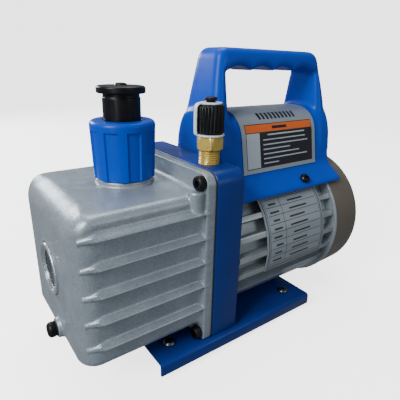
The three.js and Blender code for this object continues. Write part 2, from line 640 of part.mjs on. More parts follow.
const [farShank, nearShank] = handleScrewTools(2.4, 50, HANDLE_SCREW.skirt + 1);
const [farHead, nearHead] = handleScrewTools(4.4, HANDLE_SCREW.skirt, HANDLE_SCREW.skirt + 3.2);
part("handle_screw_1", nearShank.add(nearHead), blackSteel);
part("handle_screw_2", farShank.add(farHead), blackSteel);

part("run_capacitor", rod("x", -6, 146, 13, 58, 108), blackPlastic);

function switchFrame() {
  const { x, z, halfX, halfZ } = SWITCH;
  const outside = join([
    box(x - halfX, x + halfX, 19, PANEL.y + 1, z - halfZ, z + halfZ),
    box(x - halfX - 2, x + halfX + 2, PANEL.y + GAP, PANEL.y + 2.5, z - halfZ - 2, z + halfZ + 2),
  ]);
  return cut(outside, [box(x - 7.5, x + 7.5, 24, 36, z - 4.5, z + 4.5)]);
}
function switchButton() {
  const { x, z, tilt } = SWITCH;
  const rocker = polygon([[29.5, z - 3.6], [36, z - 3.9], [34.6, z], [36, z + 3.9], [29.5, z + 3.6]]);
  const matrix = new THREE.Matrix4().makeTranslation(0, 31, z);
  matrix.multiply(new THREE.Matrix4().makeRotationX(radians(-tilt)));
  matrix.multiply(new THREE.Matrix4().makeTranslation(0, -31, -z));
  return about(alongX(rocker, x - 7.1, x + 7.1), matrix);
}
part("switch_frame", switchFrame(), blackPlastic);
part("switch_rocker", switchButton(), blackPlastic);

function powerGland() {
  const seat = PANEL.y + GAP;
  const profile = [
    [3.2, 22], [5.5, 22], [5.5, seat], [8, seat], [8, seat + 4.5], [6.6, seat + 6], [5.4, seat + 10],
    [3.2, seat + 10], [3.2, 22],
  ];
  return turned("y", GLAND.x, GLAND.z, profile, 16);
}
part("power_gland", powerGland(), blackPlastic);

// ---------------------------------------------------------------- intake port
function intakeFitting() {
  const { x, y, thread, hex, flare } = INTAKE;
  const body = join([
    rod("z", x, y, thread, 130, 151.5),
    alongZ(hexagon(x, y, 2 * hex), 151, 160),
    rod("z", x, y, flare, 159, 170),
  ]);
  return cut(body, [rod("z", x, y, 3, 129, 171, 16)]);
}
function intakeCap() {
  const { x, y, flare, cap } = INTAKE;
  const bore = flare + GAP;
  const profile = [
    [bore, 162], [cap - 0.5, 162], [cap, 162.6], [cap, 180], [cap - 1, 181], [3.2, 181], [3.2, 183.4],
    [4.2, 183.8], [4.2, 185.4], [3.4, 186], [0, 186], [0, 175], [bore, 175], [bore, 162],
  ];
  return turned("z", x, y, profile, 16);
}
// The strap: a ring under the cap, a ring on its nub, and a band between them beside the cap.
function capStrap() {
  const { x, y, flare, cap } = INTAKE;
  const band = cap + 1.1;
  const lower = ring("z", x, y, flare + GAP, cap + 0.4, 160.3, 161.6, 16);
  const upper = ring("z", x, y, 3.6, 7, 181.3, 182.5, 12);
  const strip = join([
    box(-band - 0.9, -band, -1.6, 1.6, 160.3, 182.5),
    box(-band - 0.5, -flare - 3, -1.6, 1.6, 160.3, 161.6),
    box(-band - 0.5, -5, -1.6, 1.6, 181.3, 182.5),
  ]);
  const turn = new THREE.Matrix4().makeTranslation(x, y, 0);
  turn.multiply(new THREE.Matrix4().makeRotationZ(radians(-36)));
  return join([lower, upper, about(strip, turn)]);
}
part("intake_fitting", intakeFitting(), brass);
part("intake_cap", intakeCap(), blackPlastic);
part("intake_cap_seal", rod("z", INTAKE.x, INTAKE.y, 5.4, 170.4, 174.6, 16), rubber);
part("intake_cap_strap", capStrap(), whitePlastic);

// ---------------------------------------------------------------- exhaust port
// The cap screws onto the tank's stub, carries the filter inside, and its top takes the plug.
function exhaustCap() {
  const { x, stub, foot, capTop, rTop, rBottom, plug } = EXHAUST;
  const thread = stub + GAP;
  const profile = [
    [thread, foot], [rBottom, foot], [rTop, capTop - 3], [rTop - 0.9, capTop - 0.9],
    [rTop - 3, capTop], [plug + GAP, capTop], [plug + GAP, 158], [18, 158], [18, 141], [thread, 141],
    [thread, foot],
  ];
  const recesses = Array.from({ length: 9 }, (_, i) => {
    const matrix = new THREE.Matrix4().makeTranslation(x, 0, 0);
    matrix.multiply(new THREE.Matrix4().makeRotationZ(radians(40 * i + 24.5)));
    return about(box(rBottom - 0.3, rTop + 5, -4.4, 4.4, foot - 1, capTop - 6), matrix);
  });
  return cut(turned("z", x, 0, profile, 27), recesses);
}
function exhaustPlug() {
  const { x, capTop, plug } = EXHAUST;
  const seat = capTop + 17;
  const profile = [
    [0, 160], [plug - 1, 160], [plug, 161], [plug, seat], [15.8, seat], [16, seat + 0.6],
    [16, seat + 3.6], [15, seat + 4.8], [4, seat + 5.6], [3.6, seat + 6.4], [0, seat + 6.6],
  ];
  return turned("z", x, 0, profile, 24);
}
part("exhaust_cap", exhaustCap(), bluePlastic);
part("exhaust_plug", exhaustPlug(), blackPlastic);
part("exhaust_filter", ring("z", EXHAUST.x, 0, 4, 17.6, 142, 157.6), felt);

group.position.x = -(DRAIN.tip + COVER.x1) / 2;

export default group;
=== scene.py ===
"""The looks of a rotary vane vacuum pump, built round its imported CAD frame.

Shapes are drawn in millimetres in the part's working frame: x = 0 is the pump body's front face, with
the oil tank on -x and the motor on +x, y = 0 is the centre plane and z = 0 the floor.
"""
import json
import math
from functools import reduce

import bmesh
import bpy
import numpy as np
import openvdb
from mathutils import Matrix, Vector


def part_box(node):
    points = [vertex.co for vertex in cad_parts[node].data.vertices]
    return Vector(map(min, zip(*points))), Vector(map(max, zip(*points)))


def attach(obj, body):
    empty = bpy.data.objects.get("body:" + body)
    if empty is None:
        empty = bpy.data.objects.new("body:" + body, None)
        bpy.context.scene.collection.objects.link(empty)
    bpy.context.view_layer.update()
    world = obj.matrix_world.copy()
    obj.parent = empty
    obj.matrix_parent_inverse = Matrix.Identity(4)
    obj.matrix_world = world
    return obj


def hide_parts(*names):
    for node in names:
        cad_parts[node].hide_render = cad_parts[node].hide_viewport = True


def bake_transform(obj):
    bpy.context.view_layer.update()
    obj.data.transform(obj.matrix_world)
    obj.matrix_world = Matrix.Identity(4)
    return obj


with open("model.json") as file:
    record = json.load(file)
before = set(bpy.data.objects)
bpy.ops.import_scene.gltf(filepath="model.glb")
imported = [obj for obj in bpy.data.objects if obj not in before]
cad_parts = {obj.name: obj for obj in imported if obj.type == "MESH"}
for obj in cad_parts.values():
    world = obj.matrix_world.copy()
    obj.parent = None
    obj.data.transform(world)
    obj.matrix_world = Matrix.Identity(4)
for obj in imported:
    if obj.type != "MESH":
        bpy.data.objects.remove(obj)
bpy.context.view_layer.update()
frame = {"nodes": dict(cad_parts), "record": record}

MM = 0.001
X_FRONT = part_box("pump_body")[0].x  # the working frame's origin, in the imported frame
AXIS_Z = 68
SHAFT_LINE = (0, AXIS_Z)

# ------------------------------------------------------------------ dimensions
# As in the CAD part, except BASE's bend, which is 3 mm here and 5 mm there.
GAP = 0.3  # between neighbouring parts
SCREW_HOLE, BEARING_BORE = 2.8, 17.3  # radii
BASE = dict(x0=-46, x1=106.6, half=61.9, top=14, bottom=4, sheet=2, bend=3)
FEET = [(x, y) for x in (-30, 90) for y in (-45.5, 45.5)]
BODY = dict(x1=23.2, half=58, z0=14.3, z1=141, corner=9)
FLANGE = dict(x0=-8.4, x1=-1.2, corner=8, foot=2)
TANK = dict(x0=-95, half=53.5, z0=25.5, z1=127.6, corner=13, edge=6, brow=16, wall=5)
RIB = dict(count=5, lowest=41.6, pitch=18.2, tip=58, x0=-89, taper=8, height=5.5)
LUG = dict(x=-13.5, y=52.5, radius=5, z0=114, z1=130.1)
TANK_SCREWS = [(y, z) for z in (19.6, 135.2) for y in (-52.5, 52.5)]
SIGHT = dict(z=75.3, ring=18, window=13, lens=15)
DRAIN = dict(y=-8.6, z=33.5, boss=7, head=5.4, thread=4, tip=-104)
MOTOR = dict(x0=23.6, x1=133.5, bore=46, shell=51.5, fins=58.5, belly=57.8, flat=15, pad=127, pad_half=28)
FIN_ANGLES = [-13, 2, 17, 32, 47]
COVER = dict(x0=136.6, x1=174.6, radius=60.5, rear=59.6, corner=11, sheet=1.6)
BRACKET = dict(x0=133.8, rim=60.8)
HANDLE = dict(x0=24, x1=151, top=219.6, crest=172.5, side=27, skirt=47.5, wall=3, over_motor=59.4,
              over_cover=61.7)
GRIP = dict(x0=38.5, x1=138.5, under=202, lobes=4, depth=3)
PANEL = dict(x0=61, x1=127, y=31.5, z0=131, z1=152)
SWITCH = dict(x=75, z=142, half_x=9.5, half_z=6.5, tilt=8)
GLAND = (113, 141)
LABEL = dict(x0=46, x1=131, z0=126, y1=6)
PLATE = dict(x0=51, x1=119, low=-15, high=46)
SKIN = 0.4  # the label's and the nameplate's thickness
HANDLE_SCREW = dict(x=105, angle=48.7, skirt=65.6)
INTAKE = (11.6, -32)
EXHAUST = dict(x=-38, boss=19.5, stub=13, bore=10, foot=131.6, top=170.3, r_top=21.9, r_bottom=20.8,
               plug=12.5, edge=3, rim=6)


# ------------------------------------------------------------------ outlines and shapes
# A shape is (points, faces): an array of points in millimetres, and tuples of point numbers.
def path(start, *segments, steps=8):
    """Points along lines and curves. Each segment is its control points and end: one for a line."""
    points = [start]
    for segment in segments:
        control = np.array([points[-1], *segment], float)
        for t in np.linspace(0, 1, steps + 1 if len(segment) > 1 else 2)[1:]:
            row = control
            while len(row) > 1:
                row = row[:-1] * (1 - t) + row[1:] * t
            points.append(tuple(row[0]))
    return points


def softened(points, size=0.4, steps=3):
    """An open line of points with each inner corner turned into a small curve."""
    out = [tuple(points[0])]
    for before, corner, after in zip(points, points[1:], points[2:]):
        corner = np.array(corner, float)
        ends = []
        for other in (before, after):
            way = np.array(other, float) - corner
            length = np.linalg.norm(way)
            ends.append(corner + way / length * min(size, 0.45 * length))
        for t in np.linspace(0, 1, steps + 1):
            out.append(tuple((1 - t) ** 2 * ends[0] + 2 * t * (1 - t) * corner + t * t * ends[1]))
    return out + [tuple(points[-1])]


def arc(centre, radius, start, end, steps=8):
    turns = np.radians(np.linspace(start, end, steps + 1))
    return [(centre[0] + radius * math.cos(t), centre[1] + radius * math.sin(t)) for t in turns]


def rounded_rect(a0, a1, b0, b1, r, steps=6):
    corners = [((a1 - r, b0 + r), -90), ((a1 - r, b1 - r), 0), ((a0 + r, b1 - r), 90),
               ((a0 + r, b0 + r), 180)]
    return [p for centre, start in corners for p in arc(centre, r, start, start + 90, steps)]


def mirrored(half):
    """A closed outline from its right half, which starts and may end on the centre line."""
    return half + [(-a, b) for a, b in reversed(half) if a > 0]


def on_axis(axis, u, v, along):
    """Points whose coordinates across the axis are u and v."""
    u, v, along = np.broadcast_arrays(u, v, along)
    columns = {"x": (along, u, v), "y": (u, along, v), "z": (u, v, along)}[axis]
    return np.stack([c.ravel() for c in columns], axis=1).astype(float)


def turned(axis, centre, rows, sides=64):
    """A turned shape. rows are (radius, along), and a radius may be a function of (angles, along)."""
    angles = np.linspace(0, 2 * math.pi, sides, endpoint=False)
    points = []
    for radius, along in rows:
        r = radius(angles, along) if callable(radius) else radius
        points.append(on_axis(axis, centre[0] + r * np.cos(angles), centre[1] + r * np.sin(angles), along))
    faces = [
        (i * sides + j, i * sides + (j + 1) % sides, (i + 1) * sides + (j + 1) % sides, (i + 1) * sides + j)
        for i in range(len(rows) - 1)
        for j in range(sides)
    ]
    return np.concatenate(points), faces


def turned_ring(axis, centre, inner, outer, low, high, edge, sides):
    """A plain ring with rounded edges."""
    section = [(inner, low), (outer, low), (outer, high), (inner, high), (inner, low)]
    return turned(axis, centre, softened(section, edge), sides)


def prism(axis, outline, low, high):
    n = len(outline)
    u, v = np.array(outline, float).T
    points = np.concatenate([on_axis(axis, u, v, low), on_axis(axis, u, v, high)])
    walls = [(i, (i + 1) % n, n + (i + 1) % n, n + i) for i in range(n)]
    return points, [tuple(range(n))[::-1], tuple(range(n, 2 * n)), *walls]


def block(x0, x1, y0, y1, z0, z1):
    return prism("z", [(x0, y0), (x1, y0), (x1, y1), (x0, y1)], z0, z1)


def rod(axis, a, b, radius, low, high, sides=48):
    return prism(axis, arc((a, b), radius, 0, 360, sides)[:-1], low, high)


def merged(*shapes):
    points, faces, start = [], [], 0
    for p, f in shapes:
        points.append(p)
        faces += [tuple(i + start for i in face) for face in f]
        start += len(p)
    return np.concatenate(points), faces


def moved(shape, matrix):
    rotation = np.array(matrix.to_3x3())
    return shape[0] @ rotation.T + np.array(matrix.translation), shape[1]


def about_shaft(shape, degrees):
    to_shaft = Matrix.Translation((0, 0, AXIS_Z))
    return moved(shape, to_shaft @ Matrix.Rotation(math.radians(degrees), 4, "X") @ to_shaft.inverted())


# Radii that vary round a turned shape.
def thread(outer, depth, pitch):
    def radius(angles, along):
        phase = (along / pitch - angles / (2 * math.pi)) % 1
        return outer - depth * np.clip(np.abs(2 * phase - 1) * 1.5 - 0.25, 0, 1)
    return radius


def thread_rows(outer, depth, pitch, low, high):
    count = max(2, round((high - low) / pitch * 8))
    return [(thread(outer, depth, pitch), z) for z in np.linspace(low, high, count)]


def hexagonal(across_flats, limit=1e9):
    def radius(angles, along):
        spread = np.mod(angles, math.pi / 3) - math.pi / 6
        return np.minimum(across_flats / 2 / np.cos(spread), limit)
    return radius


def ridged(outer, depth, count):
    def radius(angles, along):
        return outer - depth * (1 - np.abs(np.cos(angles * count / 2)) ** 0.7)
    return radius


# ------------------------------------------------------------------ objects
def linked(name, data):
    """A new object in the scene."""
    obj = bpy.data.objects.new(name, data)
    bpy.context.scene.collection.objects.link(obj)
    return obj


def shaped(name, shape):
    """An object from a closed shape, with doubled points merged and faces turned outward."""
    points, faces = shape
    mesh = bpy.data.meshes.new(name)
    mesh.from_pydata((points * MM + (X_FRONT, 0, 0)).tolist(), [], faces)
    bm = bmesh.new()
    bm.from_mesh(mesh)
    bmesh.ops.remove_doubles(bm, verts=bm.verts, dist=2e-7)
    bmesh.ops.dissolve_degenerate(bm, edges=bm.edges, dist=1e-7)
    bmesh.ops.recalc_face_normals(bm, faces=bm.faces)
    bm.to_mesh(mesh)
    bm.free()
    return linked(name, mesh)


def applied(obj, kind, **settings):
    """The object with one modifier made part of its mesh."""
    modifier = obj.modifiers.new(kind, kind)
    for key, value in settings.items():
        setattr(modifier, key, value)
    graph = bpy.context.evaluated_depsgraph_get()
    mesh = bpy.data.meshes.new_from_object(obj.evaluated_get(graph))
    obj.modifiers.clear()
    obj.data = mesh
    return obj


def bevelled(obj, width=0.6, segments=3, angle=35):
    return applied(obj, "BEVEL", width=width * MM, segments=segments, angle_limit=math.radians(angle))


def carved(obj, *shapes):
    """The object less these closed shapes."""
    for shape in shapes:
        tool = shaped("tool", shape)
        applied(obj, "BOOLEAN", operation="DIFFERENCE", solver="EXACT", object=tool)
        bpy.data.objects.remove(tool)
    return obj


def finished(obj, body, slot, *stands_for, crease=38, material=None):
    obj.data.shade_smooth()
    obj.data.set_sharp_from_angle(angle=math.radians(crease))
    if not obj.data.materials:
        obj.data.materials.append(material or MATERIALS[slot])
    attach(obj, body)
    if stands_for:
        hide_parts(*stands_for)
    return obj


# ------------------------------------------------------------------ distance fields, for cast shapes
class Field:
    """A grid of places over a box. A field value is a distance in millimetres, negative inside."""

    def __init__(self, low, high, step):
        self.low, self.step = np.array(low, float), step
        counts = [int(math.ceil((b - a) / step)) + 1 for a, b in zip(low, high)]
        lines = [a + step * np.arange(n, dtype=np.float32) for a, n in zip(low, counts)]
        self.x, self.y, self.z = np.meshgrid(*lines, indexing="ij", sparse=True)
        self.shape = counts

    def surface(self, name, values):
        """The object bounded by the zero level of values."""
        band = 3 * self.step
        values = np.ascontiguousarray(np.clip(np.broadcast_to(values, self.shape), -band, band), np.float32)
        grid = openvdb.FloatGrid(band)
        grid.copyFromArray(values)
        points, triangles, quads = grid.convertToPolygons(isovalue=0.0, adaptivity=0.0)
        points = (points * self.step + self.low) * MM + (X_FRONT, 0, 0)
        mesh = bpy.data.meshes.new(name)
        mesh.from_pydata(points.tolist(), [], [*triangles.tolist(), *quads.tolist()])
        bm = bmesh.new()
        bm.from_mesh(mesh)
        if bm.calc_volume(signed=True) < 0:
            bmesh.ops.reverse_faces(bm, faces=bm.faces)
        bm.to_mesh(mesh)
        bm.free()
        return linked(name, mesh)


def slab(v, low, high):
    return np.maximum(low - v, v - high)


def disc(u, v, a, b, radius):
    return np.hypot(u - a, v - b) - radius


def inside_outline(u, v, outline):
    """Distance to a closed outline in the plane of u and v."""
    nearest, odd = np.inf, False
    for (au, av), (bu, bv) in zip(outline, outline[1:] + outline[:1]):
        eu, ev = bu - au, bv - av
        length = eu * eu + ev * ev
        if length < 1e-12:
            continue
        t = np.clip(((u - au) * eu + (v - av) * ev) / length, 0, 1)
        nearest = np.minimum(nearest, (u - au - eu * t) ** 2 + (v - av - ev * t) ** 2)
        if ev:
            odd = odd ^ (((av <= v) != (bv <= v)) & (u < au + (v - av) * eu / ev))
    return np.sqrt(nearest) * np.where(odd, -1, 1)


def rounded_corner(a, b, r):
    """Where both a and b are negative, with an edge of radius r between them."""
    pa, pb = a + r, b + r
    return np.hypot(np.maximum(pa, 0), np.maximum(pb, 0)) + np.minimum(np.maximum(pa, pb), 0) - r


def joined(a, b, k):
    """Either of two solids, with a fillet of about k where they meet."""
    h = np.clip(0.5 + 0.5 * (b - a) / k, 0, 1)
    return b * (1 - h) + a * h - k * h * (1 - h)


def common(a, b, k):
    return -joined(-a, -b, k)


def less(a, *tools):
    return reduce(lambda left, tool: np.maximum(left, -tool), tools, a)


# ------------------------------------------------------------------ materials
def linear(r, g, b):
    """A linear colour from 0-255 screen values."""
    screen = (r / 255, g / 255, b / 255)
    return tuple(c / 12.92 if c <= 0.04045 else ((c + 0.055) / 1.055) ** 2.4 for c in screen)


def surface(name, colour, dark=0.8, patch=60, rough=(0.3, 0.4), grain=900, relief=0.03, fine=0.0,
            stretch=(1, 1, 1), metallic=0.0, speck=0.0, **sockets):
    """A procedural finish. dark is the darker tone's share of colour, in patches of about 1/patch metres;
    relief and fine are bump heights in millimetres at the grain's scale and at four times that."""
    material = bpy.data.materials.new(name)
    material.use_nodes = True
    tree = material.node_tree
    shader = tree.nodes["Principled BSDF"]
    link = tree.links.new

    def noise(scale, detail, texture_input):
        node = tree.nodes.new("ShaderNodeTexNoise")
        node.inputs["Scale"].default_value = scale
        node.inputs["Detail"].default_value = detail
        link(texture_input, node.inputs["Vector"])
        return node.outputs["Fac"]

    def ranged(value, low, high, start=0.3, end=0.7):
        node = tree.nodes.new("ShaderNodeMapRange")
        for key, number in (("From Min", start), ("From Max", end), ("To Min", low), ("To Max", high)):
            node.inputs[key].default_value = number
        link(value, node.inputs["Value"])
        return node.outputs["Result"]

    place = tree.nodes.new("ShaderNodeTexCoord").outputs["Object"]
    mapping = tree.nodes.new("ShaderNodeMapping")
    mapping.inputs["Scale"].default_value = stretch
    link(place, mapping.inputs["Vector"])
    along = mapping.outputs["Vector"]
    patches, grains = noise(patch, 3, place), noise(grain, 4, along)

    tone = tree.nodes.new("ShaderNodeMix")
    tone.data_type = "RGBA"
    tone.inputs["A"].default_value = (*(c * dark for c in colour), 1)
    tone.inputs["B"].default_value = (*colour, 1)
    link(ranged(patches, 0, 1), tone.inputs["Factor"])
    shade = tone.outputs["Result"]
    if speck:
        flecks = tree.nodes.new("ShaderNodeMix")
        flecks.data_type, flecks.blend_type = "RGBA", "MULTIPLY"
        flecks.inputs["Factor"].default_value = 1
        link(shade, flecks.inputs["A"])
        link(ranged(grains, 1 - speck, 1 + speck), flecks.inputs["B"])
        shade = flecks.outputs["Result"]
    link(shade, shader.inputs["Base Color"])
    link(ranged(noise(patch * 3, 2, along), *rough), shader.inputs["Roughness"])

    normal = None
    for scale, height in ((grain, relief), (grain * 4, fine)):
        if height:
            bump = tree.nodes.new("ShaderNodeBump")
            bump.inputs["Strength"].default_value = 1
            bump.inputs["Distance"].default_value = height * MM
            link(grains if scale == grain else noise(scale, 2, along), bump.inputs["Height"])
            if normal:
                link(normal, bump.inputs["Normal"])
            normal = bump.outputs["Normal"]
    if normal:
        link(normal, shader.inputs["Normal"])
    shader.inputs["Metallic"].default_value = metallic
    for key, value in sockets.items():
        shader.inputs[key.replace("_", " ")].default_value = value
    return material


MATERIALS = dict(
    casting=surface("cast_silver_paint", linear(146, 158, 168), dark=0.8, patch=70, rough=(0.3, 0.42),
                    grain=800, relief=0.16, fine=0.03, metallic=0.45, speck=0.14),
    aluminium=surface("machined_aluminium", linear(158, 168, 174), dark=0.85, rough=(0.28, 0.42), grain=1500,
                      relief=0.02, stretch=(0.08, 1, 1), metallic=0.6, speck=0.08),
    steel=surface("zinc_plated_steel", linear(112, 114, 117), rough=(0.22, 0.34), grain=1800, relief=0.01,
                  metallic=1.0),
    black_steel=surface("black_oxide_steel", linear(12, 13, 15), rough=(0.26, 0.4), grain=1600, relief=0.015,
                        metallic=0.2, Specular_IOR_Level=0.35),
    blue_paint=surface("blue_powder_coat", linear(2, 44, 122), dark=0.82, patch=30, rough=(0.28, 0.4),
                       grain=1100, relief=0.04, Specular_IOR_Level=0.35),
    blue_plastic=surface("blue_moulded_plastic", linear(0, 66, 180), dark=0.88, patch=25, rough=(0.3, 0.38),
                         grain=2200, relief=0.012, Specular_IOR_Level=0.18),
    black_plastic=surface("black_moulded_plastic", linear(9, 11, 15), rough=(0.3, 0.44), grain=1500,
                          relief=0.02, Specular_IOR_Level=0.22),
    rubber=surface("black_rubber", linear(12, 12, 13), rough=(0.65, 0.85), grain=1200, relief=0.05),
    brass=surface("turned_brass", linear(204, 178, 92), dark=0.8, rough=(0.26, 0.38), grain=500, relief=0.02,
                  stretch=(1, 1, 4), metallic=0.55),
    taupe_paint=surface("taupe_enamel", linear(97, 92, 82), dark=0.88, patch=35, rough=(0.36, 0.46),
                        grain=1400, relief=0.03, metallic=0.1, Specular_IOR_Level=0.35),
    copper=surface("lacquered_copper", linear(176, 98, 52), rough=(0.25, 0.4), grain=900, relief=0.1,
                   stretch=(4, 1, 1), metallic=0.9),
    white_plastic=surface("white_soft_plastic", linear(205, 212, 216), dark=0.94, rough=(0.4, 0.5),
                          grain=1500, relief=0.02),
    foil=surface("silver_foil", linear(142, 153, 161), dark=0.93, patch=50, rough=(0.34, 0.44), grain=2000,
                 relief=0.01, metallic=0.3),
    glass=surface("sight_glass", linear(62, 76, 84), dark=0.6, rough=(0.05, 0.12), grain=600, relief=0.01,
                  metallic=0.3, Coat_Weight=1.0, Coat_Roughness=0.03),
    felt=surface("filter_felt", linear(205, 200, 184), rough=(0.9, 1.0), grain=1800, relief=0.25),
    gasket=surface("gasket_paper", linear(50, 52, 54), rough=(0.8, 0.95), grain=1500, relief=0.06),
)
BRIGHT_RING = surface("bright_turned_ring", linear(196, 203, 208), dark=0.85, rough=(0.2, 0.3), grain=600,
                      relief=0.01, metallic=0.8)
INKS = dict(
    orange=surface("orange_ink", linear(208, 92, 20), dark=0.94, rough=(0.35, 0.45), grain=2000,
                   relief=0.005),
    black=surface("black_ink", linear(8, 11, 19), dark=0.9, rough=(0.3, 0.4), grain=2000, relief=0.005),
    pale=surface("pale_ink", linear(170, 180, 192), dark=0.95, rough=(0.35, 0.45), grain=2000, relief=0.005),
    line=surface("grey_line_ink", linear(24, 29, 34), dark=0.9, rough=(0.4, 0.5), grain=2000, relief=0.005),
)


# ------------------------------------------------------------------ base, feet and their screws
def base_plate():
    half, top, bottom, sheet, bend = (BASE[k] for k in ("half", "top", "bottom", "sheet", "bend"))
    inner = bend - sheet
    section = [
        (-half, bottom), (-half + sheet, bottom),
        *arc((-half + bend, top - bend), inner, 180, 90), *arc((half - bend, top - bend), inner, 90, 0),
        (half - sheet, bottom), (half, bottom),
        *arc((half - bend, top - bend), bend, 0, 90), *arc((-half + bend, top - bend), bend, 90, 180),
    ]
    obj = bevelled(shaped("base_sheet", prism("x", section, BASE["x0"], BASE["x1"])), 0.45, 2, 50)
    carved(obj, *(rod("z", x, y, SCREW_HOLE, 5, 20, 24) for x, y in FEET))
    finished(obj, "casing", "blue_paint", "base_plate")


def rubber_foot(number, x, y):
    top, hole = BASE["top"] - BASE["sheet"] - GAP, SCREW_HOLE
    rows = softened([(hole, top), (hole, 4), (5, 4), (5, 0), (8, 0), (9, top), (hole, top)], 0.8)
    finished(shaped(f"foot_moulding_{number}", turned("z", (x, y), rows, 40)), "casing", "rubber",
             f"rubber_foot_{number}")


def foot_screw(number, x, y):
    seat = BASE["top"] + GAP
    rows = softened([(0, 4.5), (2.2, 4.5), (2.4, 5), (2.4, seat), (4.6, seat), (4.6, seat + 0.9),
                     (3.4, seat + 2.2), (0, seat + 2.6)], 0.5)
    obj = shaped(f"foot_screw_pan_{number}", turned("z", (x, y), rows, 36))
    carved(obj, *cross_recess("z", x, y, seat + 1.2, seat + 4))
    finished(obj, "casing", "steel", f"foot_screw_{number}")


def cross_recess(axis, a, b, low, high, length=2.2, width=0.45):
    """The two crossing slots of a screw head."""
    return [prism(axis, [(a - u, b - v), (a + u, b - v), (a + u, b + v), (a - u, b + v)], low, high)
            for u, v in ((length, width), (width, length))]


# ------------------------------------------------------------------ pump body and oil tank
def pump_body():
    half, z0, z1, r, x1 = (BODY[k] for k in ("half", "z0", "z1", "corner", "x1"))
    outline = [(-half, z0), (half, z0), *arc((half - r, z1 - r), r, 0, 90),
               *arc((-half + r, z1 - r), r, 90, 180)]
    obj = bevelled(shaped("pump_body_block", prism("x", outline, 0, x1)), 1.1, 4, 50)
    a, b = INTAKE
    carved(obj, rod("x", 0, AXIS_Z, 12.5, -1, 11.5), rod("x", 0, AXIS_Z, BEARING_BORE, 11.2, x1 + 1),
           rod("z", a, b, 7.9, 128, z1 + 1),
           *(rod("x", y, z, SCREW_HOLE, -1, 10.5, 20) for y, z in TANK_SCREWS))
    finished(obj, "casing", "blue_paint", "pump_body")


def oil_tank():
    f = Field((-100, -59.5, 12.5), (1, 59.5, 143), 0.7)
    x, y, z = f.x, f.y, f.z
    side = np.abs(y)
    x0, half, z0, z1, corner, edge, brow, wall = (TANK[k] for k in (
        "x0", "half", "z0", "z1", "corner", "edge", "brow", "wall"))
    plan = rounded_corner(x0 - x, side - half, corner)
    towards_end = np.clip(0.5 + ((x0 - x) - (side - half)) / 30, 0, 1)
    top_edge = edge + (brow - edge) * towards_end ** 2 * (3 - 2 * towards_end)
    body = np.maximum(rounded_corner(plan, z - z1, top_edge), rounded_corner(plan, z0 - z, edge))
    body = np.maximum(body, x + 2)
    upper = rounded_corner(side - BODY["half"], z - BODY["z1"], FLANGE["corner"])
    lower = rounded_corner(side - BODY["half"], BODY["z0"] - z, FLANGE["foot"])
    flange = rounded_corner(np.maximum(upper, lower), slab(x, FLANGE["x0"], FLANGE["x1"]), 0.8)
    rib_places = (RIB["lowest"] + i * RIB["pitch"] for i in range(RIB["count"]))
    ribs = reduce(np.minimum, (tank_rib(x, side, z, at) for at in rib_places))
    lugs = rounded_corner(disc(x, side, LUG["x"], LUG["y"], LUG["radius"]), slab(z, LUG["z0"], LUG["z1"]), 0.7)
    boss = rounded_corner(disc(x, y, EXHAUST["x"], 0, EXHAUST["boss"]),
                          slab(z, z1 - 4, EXHAUST["foot"] - GAP), 0.8)
    stub = np.maximum(disc(x, y, EXHAUST["x"], 0, EXHAUST["stub"]), slab(z, z1 - 2, 140.6))
    drain = rounded_corner(disc(y, z, DRAIN["y"], DRAIN["z"], DRAIN["boss"]), slab(x, x0 - 3, x0 + 6), 0.8)
    pad = rounded_corner(disc(y, z, 0, SIGHT["z"], SIGHT["ring"] + 2.2), slab(x, x0 - 0.5, x0 + 6), 0.5)
    solid = joined(joined(body, flange, 5), ribs, 1.1)
    solid = joined(joined(solid, lugs, 1.6), boss, 1.6)
    solid = joined(np.minimum(joined(solid, drain, 2.4), stub), pad, 0.8)
    hollow = rounded_corner(rounded_corner(side - (half - wall), slab(z, z0 + wall, z1 - wall), 6),
                            slab(x, x0 + wall, 40), 4)
    hollow = np.maximum(hollow, rounded_corner(x0 + wall - x, z - (z1 - wall), brow - wall))
    seat = np.maximum(disc(y, z, 0, SIGHT["z"], SIGHT["ring"] + 3), slab(x, x0, x0 + wall + 3))
    holes = [
        less(hollow, seat),
        np.maximum(disc(y, z, 0, SIGHT["z"], SIGHT["ring"] + GAP), slab(x, x0 - 5, x0 + wall)),
        np.maximum(disc(y, z, 0, SIGHT["z"], SIGHT["window"]), slab(x, x0 - 5, x0 + wall + 8)),
        np.maximum(disc(y, z, DRAIN["y"], DRAIN["z"], DRAIN["thread"] + GAP), slab(x, x0 - 5, x0 + wall + 4)),
        np.maximum(disc(x, y, EXHAUST["x"], 0, EXHAUST["bore"]), slab(z, z1 - wall - 4, 150)),
        *(np.maximum(disc(y, z, sy, sz, SCREW_HOLE), slab(x, -20, 5)) for sy, sz in TANK_SCREWS),
    ]
    obj = f.surface("oil_tank_casting", np.maximum(less(solid, *holes), x - FLANGE["x1"]))
    applied(obj, "DECIMATE", ratio=0.4)
    finished(obj, "casing", "casting", "oil_tank", crease=50)


def tank_rib(x, side, z, at):
    """A rib's upper face slopes down to a sharp outer edge, and its free end runs out to a low point."""
    sunk, lip, slope, tip = 3, 0.9, 0.42, RIB["tip"]
    root, start = TANK["half"] - sunk, RIB["x0"] - sunk
    profile = [(root, at - 2), (tip, at), (tip, at + lip), (root, at + RIB["height"] + 1.2)]
    plan = [(start, root), (RIB["x0"] + RIB["taper"], tip), (-4, tip), (-4, root)]
    rise = (z - at - lip - slope * (x - start - sunk)) / math.hypot(1, slope)
    return np.maximum(np.maximum(inside_outline(side, z, profile), inside_outline(x, side, plan)), rise)


